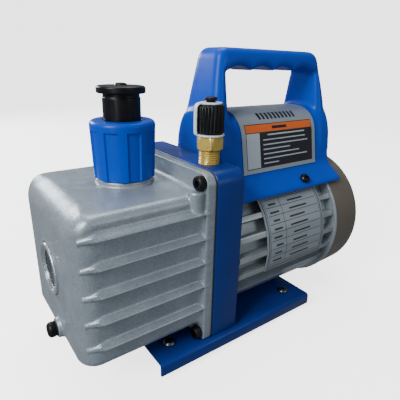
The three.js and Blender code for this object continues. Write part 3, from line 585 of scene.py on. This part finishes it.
def tank_screw(number, y, z):
    seat = FLANGE["x0"] - GAP
    deep, socket, knurl = seat - 2.5, hexagonal(4), ridged(4.8, 0.24, 30)
    rows = [(0, deep), (socket, deep), (socket, seat - 4.7),
            *softened([(2.8, seat - 5), (4.1, seat - 5), (4.7, seat - 4.4)], 0.2),
            (knurl, seat - 4.2), (knurl, seat - 0.4), (4.6, seat), (2.5, seat), (2.5, 9), (2, 9.7), (0, 9.7)]
    finished(shaped(f"tank_cap_screw_{number}", turned("x", (y, z), rows, 180)), "casing", "black_steel",
             f"tank_screw_{number}")


def sight_glass():
    face, ring, window, lens_edge = TANK["x0"], SIGHT["ring"], SIGHT["window"], SIGHT["lens"]
    seat = lens_edge + GAP
    outer = softened([(ring - 1.3, face - 2), (ring - 0.6, face - 2), (ring, face - 1.4), (ring, face + 4.6),
                      (seat, face + 4.6), (seat, face + 0.6), (window + 0.4, face + 0.6)], 0.35)
    mouth = [(window + 0.4 + 0.3 * (i - i % 2), face + 0.5 - 0.22 * i) for i in range(11)]
    rows = [*outer, *mouth, outer[0]]
    finished(shaped("sight_ring_turned", turned("x", (0, SIGHT["z"]), rows, 96)), "casing", "aluminium",
             "sight_glass_ring", crease=25, material=BRIGHT_RING)
    ripples = [(r, face + 1.3 - 0.35 * (i % 2)) for i, r in enumerate(np.linspace(3, 12.4, 14))]
    lens = [(0, face + 1.3), *ripples, (lens_edge, face + 1.0), (lens_edge, face + 3.5), (0, face + 3.5)]
    finished(shaped("sight_lens_moulded", turned("x", (0, SIGHT["z"]), lens, 72)), "casing", "glass",
             "sight_glass_lens")


def drain_plug():
    face, tip, head, shank = TANK["x0"], DRAIN["tip"], DRAIN["head"], DRAIN["thread"]
    seat, socket = face - 4.2, hexagonal(4)
    rows = [(0, tip + 3.5), (socket, tip + 3.5), (socket, tip + 0.4),
            *softened([(2.6, tip), (head - 1.6, tip), (head, tip + 1.6), (head, seat), (shank, seat)], 0.9),
            *thread_rows(shank, 0.5, 1.5, seat + 0.5, face + 5.5), (3, face + 6), (0, face + 6)]
    finished(shaped("drain_plug_turned", turned("x", (DRAIN["y"], DRAIN["z"]), rows, 72)), "drain_plug",
             "black_plastic", "drain_plug")


# ------------------------------------------------------------------ motor
def housing_radius(inset):
    """The motor housing's outline round the shaft: fins, a smooth belly with a flat, and a pad on top."""
    def radius(angles, along):
        degrees = np.degrees(angles)
        fin_half, fin_flank, belly_half, belly_flank, groove_pitch = 2.9, 0.75, 66, 1.6, 13  # degrees
        out = np.full(angles.shape, MOTOR["shell"] - inset)
        for fin in [*FIN_ANGLES, *(180 - a for a in FIN_ANGLES)]:
            away = np.abs((degrees - fin + 180) % 360 - 180)
            blade = np.clip((fin_half - away) / fin_flank, 0, 1)
            blade = blade * blade * (3 - 2 * blade)
            out = np.maximum(out, MOTOR["shell"] + (MOTOR["fins"] - inset - MOTOR["shell"]) * blade)
        belly = np.abs((degrees + 90 + 180) % 360 - 180)
        grooves = 0.7 * np.exp(-(((belly % groove_pitch) - groove_pitch / 2) / 0.7) ** 2)
        smooth = np.clip((belly_half - belly) / belly_flank, 0, 1)
        out = np.maximum(out, (MOTOR["belly"] - inset - grooves) * smooth)
        down, up = np.maximum(-np.sin(angles), 1e-3), np.maximum(np.sin(angles), 1e-3)
        across = np.maximum(np.abs(np.cos(angles)), 1e-3)
        out = np.minimum(out, (AXIS_Z - MOTOR["flat"]) / down)
        pad = np.minimum((MOTOR["pad"] - AXIS_Z - inset) / up, (MOTOR["pad_half"] - inset) / across)
        return np.where(np.sin(angles) > 0.7, np.maximum(out, pad), out)
    return radius


def motor_housing():
    x0, x1, bore = MOTOR["x0"], MOTOR["x1"], MOTOR["bore"]
    rows = [(bore, x0 + 0.4), (bore + 0.4, x0), (housing_radius(0.7), x0), (housing_radius(0.2), x0 + 0.2),
            (housing_radius(0), x0 + 0.7), (housing_radius(0), x1 - 0.7), (housing_radius(0.2), x1 - 0.2),
            (housing_radius(0.7), x1), (bore + 0.4, x1), (bore, x1 - 0.4), (bore, x0 + 0.4)]
    obj = shaped("motor_extrusion", turned("x", SHAFT_LINE, rows, 900))
    carved(obj, *handle_screw_rods(2.7, 49.5, 62))
    finished(obj, "casing", "aluminium", "motor_housing", crease=45)


def handle_screw_rods(radius, low, high):
    angle = HANDLE_SCREW["angle"]
    tool = rod("y", HANDLE_SCREW["x"], AXIS_Z, radius, low, high, 24)
    return [about_shaft(tool, angle), about_shaft(tool, 180 - angle)]


def rear_bracket():
    x0, rim, bore = BRACKET["x0"], BRACKET["rim"], BEARING_BORE
    inside, back = COVER["radius"] - COVER["sheet"] - 1.4, COVER["x0"] - GAP
    rows = softened([(bore, x0 + 0.4), (bore, 146), (22, 146), (22, 139.5), (inside, 139.5), (inside, back),
                     (rim, back), (rim, x0), (44, x0), (44, x0 + 3), (22, x0 + 3), (22, x0 + 0.4),
                     (bore, x0 + 0.4)], 0.5)
    finished(shaped("rear_bracket_cast", turned("x", SHAFT_LINE, rows, 120)), "casing", "aluminium",
             "motor_rear_bracket")


def fan_cover():
    x0, x1, radius, rear, corner, sheet = (COVER[k] for k in (
        "x0", "x1", "radius", "rear", "corner", "sheet"))
    outer = [(radius, x0), (radius, x0 + 1), *arc((rear - corner, x1 - corner), corner, 0, 90, 10),
             (46.5, x1), (45.5, x1 - 0.5), (17, x1 - 0.5), (16, x1), (0, x1)]
    inner = [(0, x1 - sheet), *arc((rear - corner, x1 - corner), corner - sheet, 90, 0, 10),
             (radius - sheet, x0), (radius, x0)]
    obj = shaped("fan_cover_pressing", turned("x", SHAFT_LINE, softened(outer, 0.3, 2) + inner, 120))
    vent = [(20.2, -2.2), *arc((42.8, 0), 2.2, -90, 90, 8), *arc((20.2, 0), 2.2, 90, 270, 8)]
    slot = prism("x", vent, x1 - 4, x1 + 1)
    for i in range(12):
        carved(obj, about_shaft(moved(slot, Matrix.Translation((0, 0, AXIS_Z))), 30 * i + 15))
    finished(obj, "casing", "taupe_paint", "fan_cover")


def cooling_fan():
    hub = turned_ring("x", SHAFT_LINE, 7.3, 12, 148, 163, 0.8, 40)
    plate = turned_ring("x", SHAFT_LINE, 11, 50, 149, 150.6, 0.4, 72)
    blade = prism("x", [(10.5, -1), (30, 0.6), (49.5, -2.4), (49.5, -0.6), (30, 2.4), (10.5, 1)], 150, 161)
    blades = [about_shaft(moved(blade, Matrix.Translation((0, 0, AXIS_Z))), 360 / 7 * i) for i in range(7)]
    finished(shaped("fan_moulding", merged(hub, plate, *blades)), "rotating_shaft", "black_plastic",
             "cooling_fan")


# ------------------------------------------------------------------ handle
def box_section(t, lip):
    """Right half of the wiring box's section, inset by t, from the crest down to the skirt's lip."""
    crest, side, skirt = HANDLE["crest"], HANDLE["side"], HANDLE["skirt"]
    return path(
        (0, crest - t), ((16 - t / 2, crest - t), (side - 2 - t, 166 - t), (side - t, 150)),
        ((side + 4 - t, 128 - t),),
        ((side + 4.6 - t, 124 - t), (side + 9 - t, 121 - t)), ((skirt - 2.5 - t, 114.6 - t),),
        ((skirt - t, 113 - t), (skirt - t, lip)), steps=12,
    )


def arch_outline():
    x0, x1, top = HANDLE["x0"], HANDLE["x1"], HANDLE["top"]
    return path(
        (x0, 136), ((x1, 136),), ((x1, 140),), ((x1 + 2.4, 168), (x1 - 3, 190)), ((x1 - 8.5, 209),),
        ((x1 - 11, top - 0.6), (x1 - 20, top - 0.6)), ((x0 + 17, top),), ((x0 + 9, top), (x0 + 7, top - 9)),
        ((x0 + 1, 178), (x0, 155)),
    )


def grip_outline():
    x0, x1, under = GRIP["x0"], GRIP["x1"], GRIP["under"]
    pitch = (x1 - x0 - 6) / GRIP["lobes"]
    lobes = [((x0 + 3 + (i + 0.5) * pitch, under + 2 * GRIP["depth"]), (x0 + 3 + (i + 1) * pitch, under))
             for i in range(GRIP["lobes"])]
    return path((x0, 122), ((x0, under - 3),), ((x0, under), (x0 + 3, under)), *lobes,
                ((x1, under), (x1, under - 3)), ((x1 + 1, 122),))


def handle():
    x0, x1, wall, top = (HANDLE[k] for k in ("x0", "x1", "wall", "top"))
    f = Field((x0 - 2, -49.5, 106), (x1 + 4, 49.5, top + 2), 0.8)
    x, y, z = f.x, f.y, f.z
    side = np.abs(y)
    crown = top + 0.4
    front = path((0, 136), ((27.8, 136),), ((27, 150),), ((20, 170), (15.6, 208)),
                 ((14.5, crown), (8, crown)), ((0, crown),))
    arch = common(inside_outline(x, z, arch_outline()), inside_outline(y, z, mirrored(front)), 7)
    arch = common(arch, -inside_outline(x, z, grip_outline()), 6)
    box = common(inside_outline(y, z, mirrored(box_section(0, 110.5))), slab(x, x0, x1), 2.5)
    panel = np.maximum(np.maximum(slab(x, PANEL["x0"], PANEL["x1"]), slab(y, 15, PANEL["y"])),
                       slab(z, PANEL["z0"], PANEL["z1"]))
    solid = joined(joined(arch, box, 5), panel, 1.2)
    inner = np.maximum(inside_outline(y, z, mirrored(box_section(wall, 90))), slab(x, x0 + wall, x1 - wall))
    sx, sz, hx, hz = SWITCH["x"], SWITCH["z"], SWITCH["half_x"] + GAP, SWITCH["half_z"] + GAP
    switch = np.maximum(np.maximum(slab(x, sx - hx, sx + hx), slab(z, sz - hz, sz + hz)), slab(y, 15, 40))
    holes = [
        inner, switch,
        np.maximum(disc(y, z, 0, AXIS_Z, HANDLE["over_motor"]), x - 133.6),
        np.maximum(disc(y, z, 0, AXIS_Z, HANDLE["over_cover"]), 133.5 - x),
        np.maximum(np.maximum(side - MOTOR["pad_half"] - GAP, z - MOTOR["pad"] - GAP), x - 134),
        np.maximum(disc(x, z, *GLAND, 5.9), slab(y, 14, 40)),
        *screw_holes(x, y, z),
    ]
    obj = f.surface("handle_moulding", less(solid, *holes))
    applied(obj, "DECIMATE", ratio=0.5)
    finished(obj, "casing", "blue_plastic", "handle", crease=50)


def screw_holes(x, y, z):
    """Fields of the two lines that the handle's screws lie on."""
    angle = math.radians(HANDLE_SCREW["angle"])
    for sign in (-1, 1):
        across = y * math.sin(angle) * sign - (z - AXIS_Z) * math.cos(angle)
        outward = y * math.cos(angle) * sign + (z - AXIS_Z) * math.sin(angle)
        yield np.maximum(np.hypot(x - HANDLE_SCREW["x"], across) - 2.9, 50 - outward)


def handle_screws():
    skirt = HANDLE_SCREW["skirt"]
    rows = softened([(0, 50), (2.2, 50), (2.4, 50.6), (2.4, skirt + 0.1), (4.4, skirt + 0.1),
                     (4.4, skirt + 1.2), (3.2, skirt + 2.7), (0, skirt + 3.1)], 0.5)
    centre = (HANDLE_SCREW["x"], AXIS_Z)
    for number, degrees in ((1, 180 - HANDLE_SCREW["angle"]), (2, HANDLE_SCREW["angle"])):
        tools = [about_shaft(t, degrees) for t in cross_recess("y", *centre, skirt + 1.7, skirt + 5)]
        obj = shaped(f"handle_pan_screw_{number}", about_shaft(turned("y", centre, rows, 40), degrees))
        finished(carved(obj, *tools), "casing", "black_steel", f"handle_screw_{number}")


# ------------------------------------------------------------------ label and nameplate
def cells(edges, spacing):
    """Grid lines that keep every edge and are no further apart than spacing."""
    edges = sorted(set(round(e, 3) for e in edges))
    lines = [edges[0]]
    for a, b in zip(edges, edges[1:]):
        lines += list(np.linspace(a, b, max(1, math.ceil((b - a) / spacing)) + 1)[1:])
    return lines


def printed_skin(name, line, x0, x1, thickness, prints, body, slot, node, round_at=(0, 0), lift=None):
    """A thin skin along x that follows line, a list of (y, z), with flat prints on its outer face.
    A print is (u0, u1, v0, v1, ink): u from x0, and v along the line from its start."""
    line = np.array(line, float)
    run = np.concatenate([[0], np.cumsum(np.linalg.norm(np.diff(line, axis=0), axis=1))])
    width, length = x1 - x0, run[-1]
    u_step, v_step = 3, 1.5
    us = cells([0, width, *(e for p in prints for e in p[:2])], u_step)
    vs = cells([0, length, *(e for p in prints for e in p[2:4])], v_step)
    tangent = np.gradient(line, run, axis=0)
    tangent /= np.linalg.norm(tangent, axis=1)[:, None]
    points, uv = [], []
    for level in (0, thickness):
        for v in vs:
            yz = [np.interp(v, run, line[:, k]) for k in (0, 1)]
            t = [np.interp(v, run, tangent[:, k]) for k in (0, 1)]
            near = [max(0, r - d) for r, d in zip(round_at, (v, length - v))]
            inset = sum(r - math.sqrt(max(0, r * r - n * n)) for r, n in zip(round_at, near))
            out = level + (lift(v) if lift else 0)
            for u in us:
                across = inset + u * (width - 2 * inset) / width
                points.append((x0 + across, yz[0] - t[1] * out, yz[1] + t[0] * out))
                uv.append((u, v))
    nu, nv = len(us), len(vs)
    at = lambda level, j, i: level * nu * nv + j * nu + i
    patches = [(k, j, i) for k in (0, 1) for j in range(nv - 1) for i in range(nu - 1)]
    faces = [(at(k, j, i), at(k, j, i + 1), at(k, j + 1, i + 1), at(k, j + 1, i)) for k, j, i in patches]
    inks = ["", *INKS]
    numbers = []
    for k, j, i in patches:
        u, v = (us[i] + us[i + 1]) / 2, (vs[j] + vs[j + 1]) / 2
        hits = [p[4] for p in prints if k and p[0] < u < p[1] and p[2] < v < p[3]]
        numbers.append(inks.index(hits[-1]) if hits else 0)
    for j in range(nv - 1):
        faces += [(at(0, j, i), at(0, j + 1, i), at(1, j + 1, i), at(1, j, i)) for i in (0, nu - 1)]
    for i in range(nu - 1):
        faces += [(at(0, j, i), at(0, j, i + 1), at(1, j, i + 1), at(1, j, i)) for j in (0, nv - 1)]
    mesh = bpy.data.meshes.new(name)
    mesh.from_pydata((np.array(points) * MM + (X_FRONT, 0, 0)).tolist(), [], faces)
    mesh.polygons.foreach_set("material_index", numbers + [0] * (len(faces) - len(numbers)))
    bm = bmesh.new()
    bm.from_mesh(mesh)
    bmesh.ops.recalc_face_normals(bm, faces=bm.faces)
    bm.to_mesh(mesh)
    bm.free()
    for material in (MATERIALS[slot], *INKS.values()):
        mesh.materials.append(material)
    finished(linked(name, mesh), body, slot, node)


def bars(u0, lengths, v_top, pitch, height, ink):
    """Plain bars under each other, in place of lines of small print."""
    return [(u0, u0 + length, v_top - i * pitch - height, v_top - i * pitch, ink)
            for i, length in enumerate(lengths)]


def handle_label():
    half = [p for p in box_section(-0.3, 100) if p[1] >= 119]
    line = [(-a, b) for a, b in half[::-1] if b > LABEL["z0"]]
    line = [(-31.9, LABEL["z0"]), *line, (LABEL["y1"], half[1][1] + 0.2)]
    title = [(22 + 4.4 * i, 24.6 + 4.4 * i, 41.5, 48.5, "black") for i in range(10)]
    prints = [
        (4, 81, 3.2, 38, "black"), (4.6, 80.4, 31.4, 37.4, "orange"), (4.6, 18.4, 3.8, 30.8, "pale"),
        *bars(27, [44], 29.5, 4, 1.1, "pale"), *bars(22, [50, 53, 31, 42, 52, 17], 25.6, 3.7, 0.95, "pale"),
        *bars(33, [17], 35.6, 4, 2.3, "black"), *title,
    ]
    printed_skin("handle_label_print", line, LABEL["x0"], LABEL["x1"], SKIN, prints, "casing", "foil",
                 "handle_label", round_at=(0, 7))


def nameplate():
    radius = MOTOR["fins"] + 0.35
    line = [(-radius * math.cos(t), AXIS_Z + radius * math.sin(t))
            for t in np.radians(np.linspace(PLATE["low"], PLATE["high"], 60))]
    length = radius * math.radians(PLATE["high"] - PLATE["low"])
    width = PLATE["x1"] - PLATE["x0"]
    frame_lines = [p for inset, thick in ((1.6, 0.8), (3.4, 0.45)) for p in (
        (inset, width - inset, inset, inset + thick, "line"),
        (inset, width - inset, length - inset - thick, length - inset, "line"),
        (inset, inset + thick, inset, length - inset, "line"),
        (width - inset - thick, width - inset, inset, length - inset, "line"))]
    rows = np.linspace(5, length - 5, 9)
    grid = [(5, width - 5, v, v + 0.45, "line") for v in rows] + [(21, 21.45, 5, length - 5, "line")]
    entries = [(7.5 + i % 3, 17.5 - i % 2, v + 2, v + 3.5, "line") for i, v in enumerate(rows[:-1])]
    values = [(27 + i % 4, 50 - 2 * (i % 3), v + 2, v + 3.4, "line") for i, v in enumerate(rows[:-1])]
    dip, first_fin, fin_spacing = 0.35, 2, 15

    def sag(v):
        """The skin dips between the fins under it."""
        turn = 360 / fin_spacing * (math.degrees(v / radius) - first_fin)
        return -dip * (0.5 - 0.5 * math.cos(math.radians(turn)))

    prints = frame_lines + grid + entries + values
    printed_skin("nameplate_print", line, PLATE["x0"], PLATE["x1"], SKIN, prints, "casing", "foil",
                 "motor_nameplate", lift=sag)


# ------------------------------------------------------------------ switch and power gland
def power_switch():
    x, z, hx, hz, y = SWITCH["x"], SWITCH["z"], SWITCH["half_x"], SWITCH["half_z"], PANEL["y"]
    body = prism("y", rounded_rect(x - hx, x + hx, z - hz, z + hz, 0.6, 2), 19, y + GAP + 0.2)
    bezel = prism("y", rounded_rect(x - hx - 2, x + hx + 2, z - hz - 2, z + hz + 2, 1.5, 4), y + GAP, y + 2.5)
    obj = shaped("switch_bezel", body)
    tool = shaped("bezel", bezel)
    applied(obj, "BOOLEAN", operation="UNION", solver="EXACT", object=tool)
    bpy.data.objects.remove(tool)
    carved(obj, block(x - 7.5, x + 7.5, 24, 36, z - 4.5, z + 4.5))
    finished(bevelled(obj, 0.35, 2), "casing", "black_plastic", "switch_frame")
    crown = path((29.5, z + 3.6), ((29.5, z - 3.6),), ((36, z - 3.9),), ((34.1, z), (36, z + 3.9)), steps=8)
    to_pivot = Matrix.Translation((0, 31, z))
    tilt = to_pivot @ Matrix.Rotation(math.radians(-SWITCH["tilt"]), 4, "X") @ to_pivot.inverted()
    rocker = shaped("switch_rocker_cap", moved(prism("x", crown, x - 7.1, x + 7.1), tilt))
    finished(bevelled(rocker, 0.4, 2), "switch_rocker", "black_plastic", "switch_rocker")


def power_gland():
    seat = PANEL["y"] + GAP
    nut = hexagonal(15)
    rows = [*softened([(3.2, 22), (5.5, 22), (5.5, seat), (7.2, seat)], 0.4), (hexagonal(15, 8), seat),
            (nut, seat + 0.6), (nut, seat + 3.9), (hexagonal(15, 8), seat + 4.5),
            *softened([(7, seat + 4.6), (6.6, seat + 6), (5.4, seat + 10), (3.2, seat + 10), (3.2, 22)], 0.5)]
    finished(shaped("cable_gland", turned("y", GLAND, rows, 72)), "casing", "black_plastic", "power_gland")


# ------------------------------------------------------------------ intake and exhaust ports
def intake_fitting():
    hex_nut, nut_end = hexagonal(17), hexagonal(17, 8.9)
    rows = [(3, 130), *softened([(3, 130), (6.4, 130), (6.9, 130.6)], 0.2),
            *thread_rows(7.5, 0.65, 1.55, 131, 150.4), (6.6, 150.8), (6.6, 151.2), (nut_end, 151.2),
            (hex_nut, 152), (hex_nut, 159.2), (nut_end, 160), (5.2, 160),
            *thread_rows(5.5, 0.35, 1.27, 160.4, 169), (4.6, 170), (3, 170), (3, 130)]
    finished(shaped("intake_flare_fitting", turned("z", INTAKE, rows, 96)), "casing", "brass",
             "intake_fitting")


def intake_cap():
    knurl = ridged(9.5, 1.0, 24)
    nub = [(8.9, 180.2), (8.2, 181), (3.2, 181), (3.2, 183.4), (4.2, 183.8), (4.2, 185.4), (3.4, 186),
           (1.2, 186), (1, 185.6), (0, 185.6)]
    rows = [(0, 175), *softened([(5.8, 175), (5.8, 162), (8.9, 162), (9.1, 162.6)], 0.2),
            (knurl, 163), (knurl, 179.4), *softened(nub, 0.25)]
    finished(shaped("intake_flare_cap", turned("z", INTAKE, rows, 234)), "intake_cap", "black_plastic",
             "intake_cap", crease=60)


def cap_strap():
    """A ring under the cap, a ring on its nub, and a band between them that bows out beside the cap."""
    lower = turned_ring("z", INTAKE, 5.9, 9.9, 160.3, 161.6, 0.4, 64)
    upper = turned_ring("z", INTAKE, 3.5, 7.6, 181.3, 182.5, 0.4, 64)
    line = path((9.2, 160.95), ((10.5, 160.9), (10.6, 163)), ((10.9, 171), (10.6, 178.5)),
                ((10.2, 181.9), (6.9, 181.9)), steps=10)
    band = ribbon(line, 5, 1.1)
    turn = Matrix.Translation((*INTAKE, 0)) @ Matrix.Rotation(math.radians(163), 4, "Z")
    obj = shaped("cap_tether", merged(lower, upper, moved(band, turn)))
    obj.data.shade_smooth()
    obj.data.set_sharp_from_angle(angle=math.radians(50))
    obj.data.materials.append(MATERIALS["white_plastic"])
    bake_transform(obj)
    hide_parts("intake_cap_strap")


def ribbon(line, width, thickness):
    """A band of rounded section along line, a list of (radius, z), across the y axis."""
    line = np.array(line, float)
    way = np.gradient(line, axis=0)
    way /= np.linalg.norm(way, axis=1)[:, None]
    section = rounded_rect(-width / 2, width / 2, -thickness / 2, thickness / 2, thickness * 0.35, 3)
    n = len(section)
    points = np.array([(r - dz * v, u, z + dr * v)
                       for (r, z), (dr, dz) in zip(line, way) for u, v in section])
    last = (len(line) - 1) * n
    walls = [(i * n + j, i * n + (j + 1) % n, (i + 1) * n + (j + 1) % n, (i + 1) * n + j)
             for i in range(len(line) - 1) for j in range(n)]
    return points, [tuple(range(n)), tuple(range(last, last + n))[::-1], *walls]


def cap_wall(angles, along):
    """The exhaust cap's outer wall: nine sunk grip panels under a smooth rim."""
    spacing, first, half_width, flank, depth = 40, 24.5, 4.5, 0.35, 1.05
    low, high = EXHAUST["foot"], EXHAUST["top"] - EXHAUST["edge"]
    radius = EXHAUST["r_bottom"] + (EXHAUST["r_top"] - EXHAUST["r_bottom"]) * (along - low) / (high - low)
    away = np.abs((np.degrees(angles) - first + spacing / 2) % spacing - spacing / 2) * math.pi / 180 * radius
    side = np.clip((half_width - away) / flank, 0, 1)
    end = min(1, max(0, (EXHAUST["top"] - EXHAUST["rim"] - along) / 0.5))
    return radius - depth * side * end


def exhaust_cap():
    foot, top, bore, skirt = EXHAUST["foot"], EXHAUST["top"], EXHAUST["plug"] + GAP, EXHAUST["r_bottom"]
    stub, rim, edge = EXHAUST["stub"] + GAP, top - EXHAUST["rim"], EXHAUST["edge"]
    wall = [(cap_wall, z) for z in (foot + 0.4, rim - 1.2, rim - 0.5, rim - 0.25, rim, rim + 0.3, top - edge)]
    crown = arc((EXHAUST["r_top"] - edge, top - edge), edge, 8, 90, 6)
    inside = softened([(bore + 1, top), (bore, top - 0.6), (bore, 158), (18, 158), (18, 141)], 0.4)
    rows = [(stub, foot), (skirt - 1.6, foot), (skirt - 1.3, foot + 0.1), *wall, *crown, *inside,
            (stub, 141), (stub, foot)]
    finished(shaped("exhaust_cap_moulding", turned("z", (EXHAUST["x"], 0), rows, 360)), "exhaust_cap",
             "blue_plastic", "exhaust_cap")


def exhaust_plug():
    seat, neck = EXHAUST["top"] + 17, EXHAUST["plug"]
    rows = softened([(0, 160), (neck - 1, 160), (neck, 161), (neck, seat - 3), (neck - 0.5, seat - 2.2),
                     (neck - 0.5, seat), (15.6, seat), (16, seat + 0.7), (16, seat + 3.8), (14.8, seat + 4.7),
                     (11, seat + 4.7), (10.6, seat + 4.3), (4.4, seat + 4.6), (3.6, seat + 6.2),
                     (0, seat + 6.6)], 0.6, 4)
    finished(shaped("exhaust_stopper", turned("z", (EXHAUST["x"], 0), rows, 96)), "exhaust_plug",
             "black_plastic", "exhaust_plug")


# ------------------------------------------------------------------ the whole pump
def build_pump():
    base_plate()
    for number, (x, y) in enumerate(FEET, 1):
        rubber_foot(number, x, y)
        foot_screw(number, x, y)
    pump_body()
    oil_tank()
    for number, (y, z) in enumerate(TANK_SCREWS, 1):
        tank_screw(number, y, z)
    sight_glass()
    drain_plug()
    motor_housing()
    rear_bracket()
    fan_cover()
    cooling_fan()
    handle()
    handle_screws()
    handle_label()
    nameplate()
    power_switch()
    power_gland()
    intake_fitting()
    intake_cap()
    cap_strap()
    exhaust_cap()
    exhaust_plug()


def dress_carried_nodes():
    """CAD nodes that stay take their slot's finish."""
    wanted = {entry["node"]: entry["material_slot"] for entry in frame["record"]["subparts"]}
    for name, node in frame["nodes"].items():
        if not node.hide_render:
            node.data.materials.clear()
            node.data.materials.append(MATERIALS[wanted[name]])


# ------------------------------------------------------------------ floor, light and camera
def floor():
    """A pale floor that curves up all round. It shows and takes shadows, but throws no light back."""
    rows = [(0, -0.4), (900, -0.4), *arc((1700, 799.6), 800, -90, 0, 12), (2500, 2600)]
    bowl = shaped("floor", turned("z", (0, 0), rows, 96))
    bowl.data.shade_smooth()
    pale = surface("pale_floor", linear(240, 240, 240), dark=0.99, patch=2, rough=(0.7, 0.8), grain=40,
                   relief=0.02, Emission_Color=(1, 1, 1, 1), Emission_Strength=2.6)
    pale.cycles.emission_sampling = "NONE"
    bowl.data.materials.append(pale)
    bowl.visible_diffuse = bowl.visible_glossy = False


def softbox(name, place, aim, size, power, colour=(1, 1, 1)):
    data = bpy.data.lights.new(name, "AREA")
    data.shape, data.size, data.size_y = "RECTANGLE", *size
    data.energy, data.color = power, colour
    light = linked(name, data)
    light.location = place
    light.rotation_euler = (Vector(aim) - Vector(place)).to_track_quat("-Z", "Y").to_euler()


def studio():
    floor()
    world = bpy.data.worlds.new("studio")
    world.use_nodes = True
    background = world.node_tree.nodes["Background"]
    background.inputs["Color"].default_value = (0.86, 0.9, 0.96, 1)
    background.inputs["Strength"].default_value = 0.3
    bpy.context.scene.world = world
    middle = (0, 0, 0.09)
    softbox("key", (-0.95, -0.22, 0.8), middle, (0.45, 0.6), 18, (1, 0.99, 0.97))
    softbox("top", (0.15, 0.35, 1.1), middle, (0.8, 0.6), 8, (0.95, 0.98, 1))
    softbox("front_fill", (0.45, -1.1, 0.5), middle, (0.5, 0.4), 1.6)
    softbox("rim", (-0.3, 1.2, 0.55), middle, (0.5, 0.16), 11, (0.94, 0.97, 1))
    softbox("left_strip", (-1.0, -0.62, 0.14), middle, (0.08, 0.5), 1.6)


def camera():
    """Its place is in metres and its angles are in degrees."""
    lens, sensor = 33.76, 36
    before_front, aside, height = 0.14493, -0.23574, 0.20749
    angles = (69.766, -1.349, -35.767)
    data = bpy.data.cameras.new("camera")
    data.lens, data.sensor_width = lens, sensor
    obj = linked("camera", data)
    obj.location = (X_FRONT - before_front, aside, height)
    obj.rotation_euler = [math.radians(a) for a in angles]
    bpy.context.scene.camera = obj


build_pump()
dress_carried_nodes()
studio()
camera()
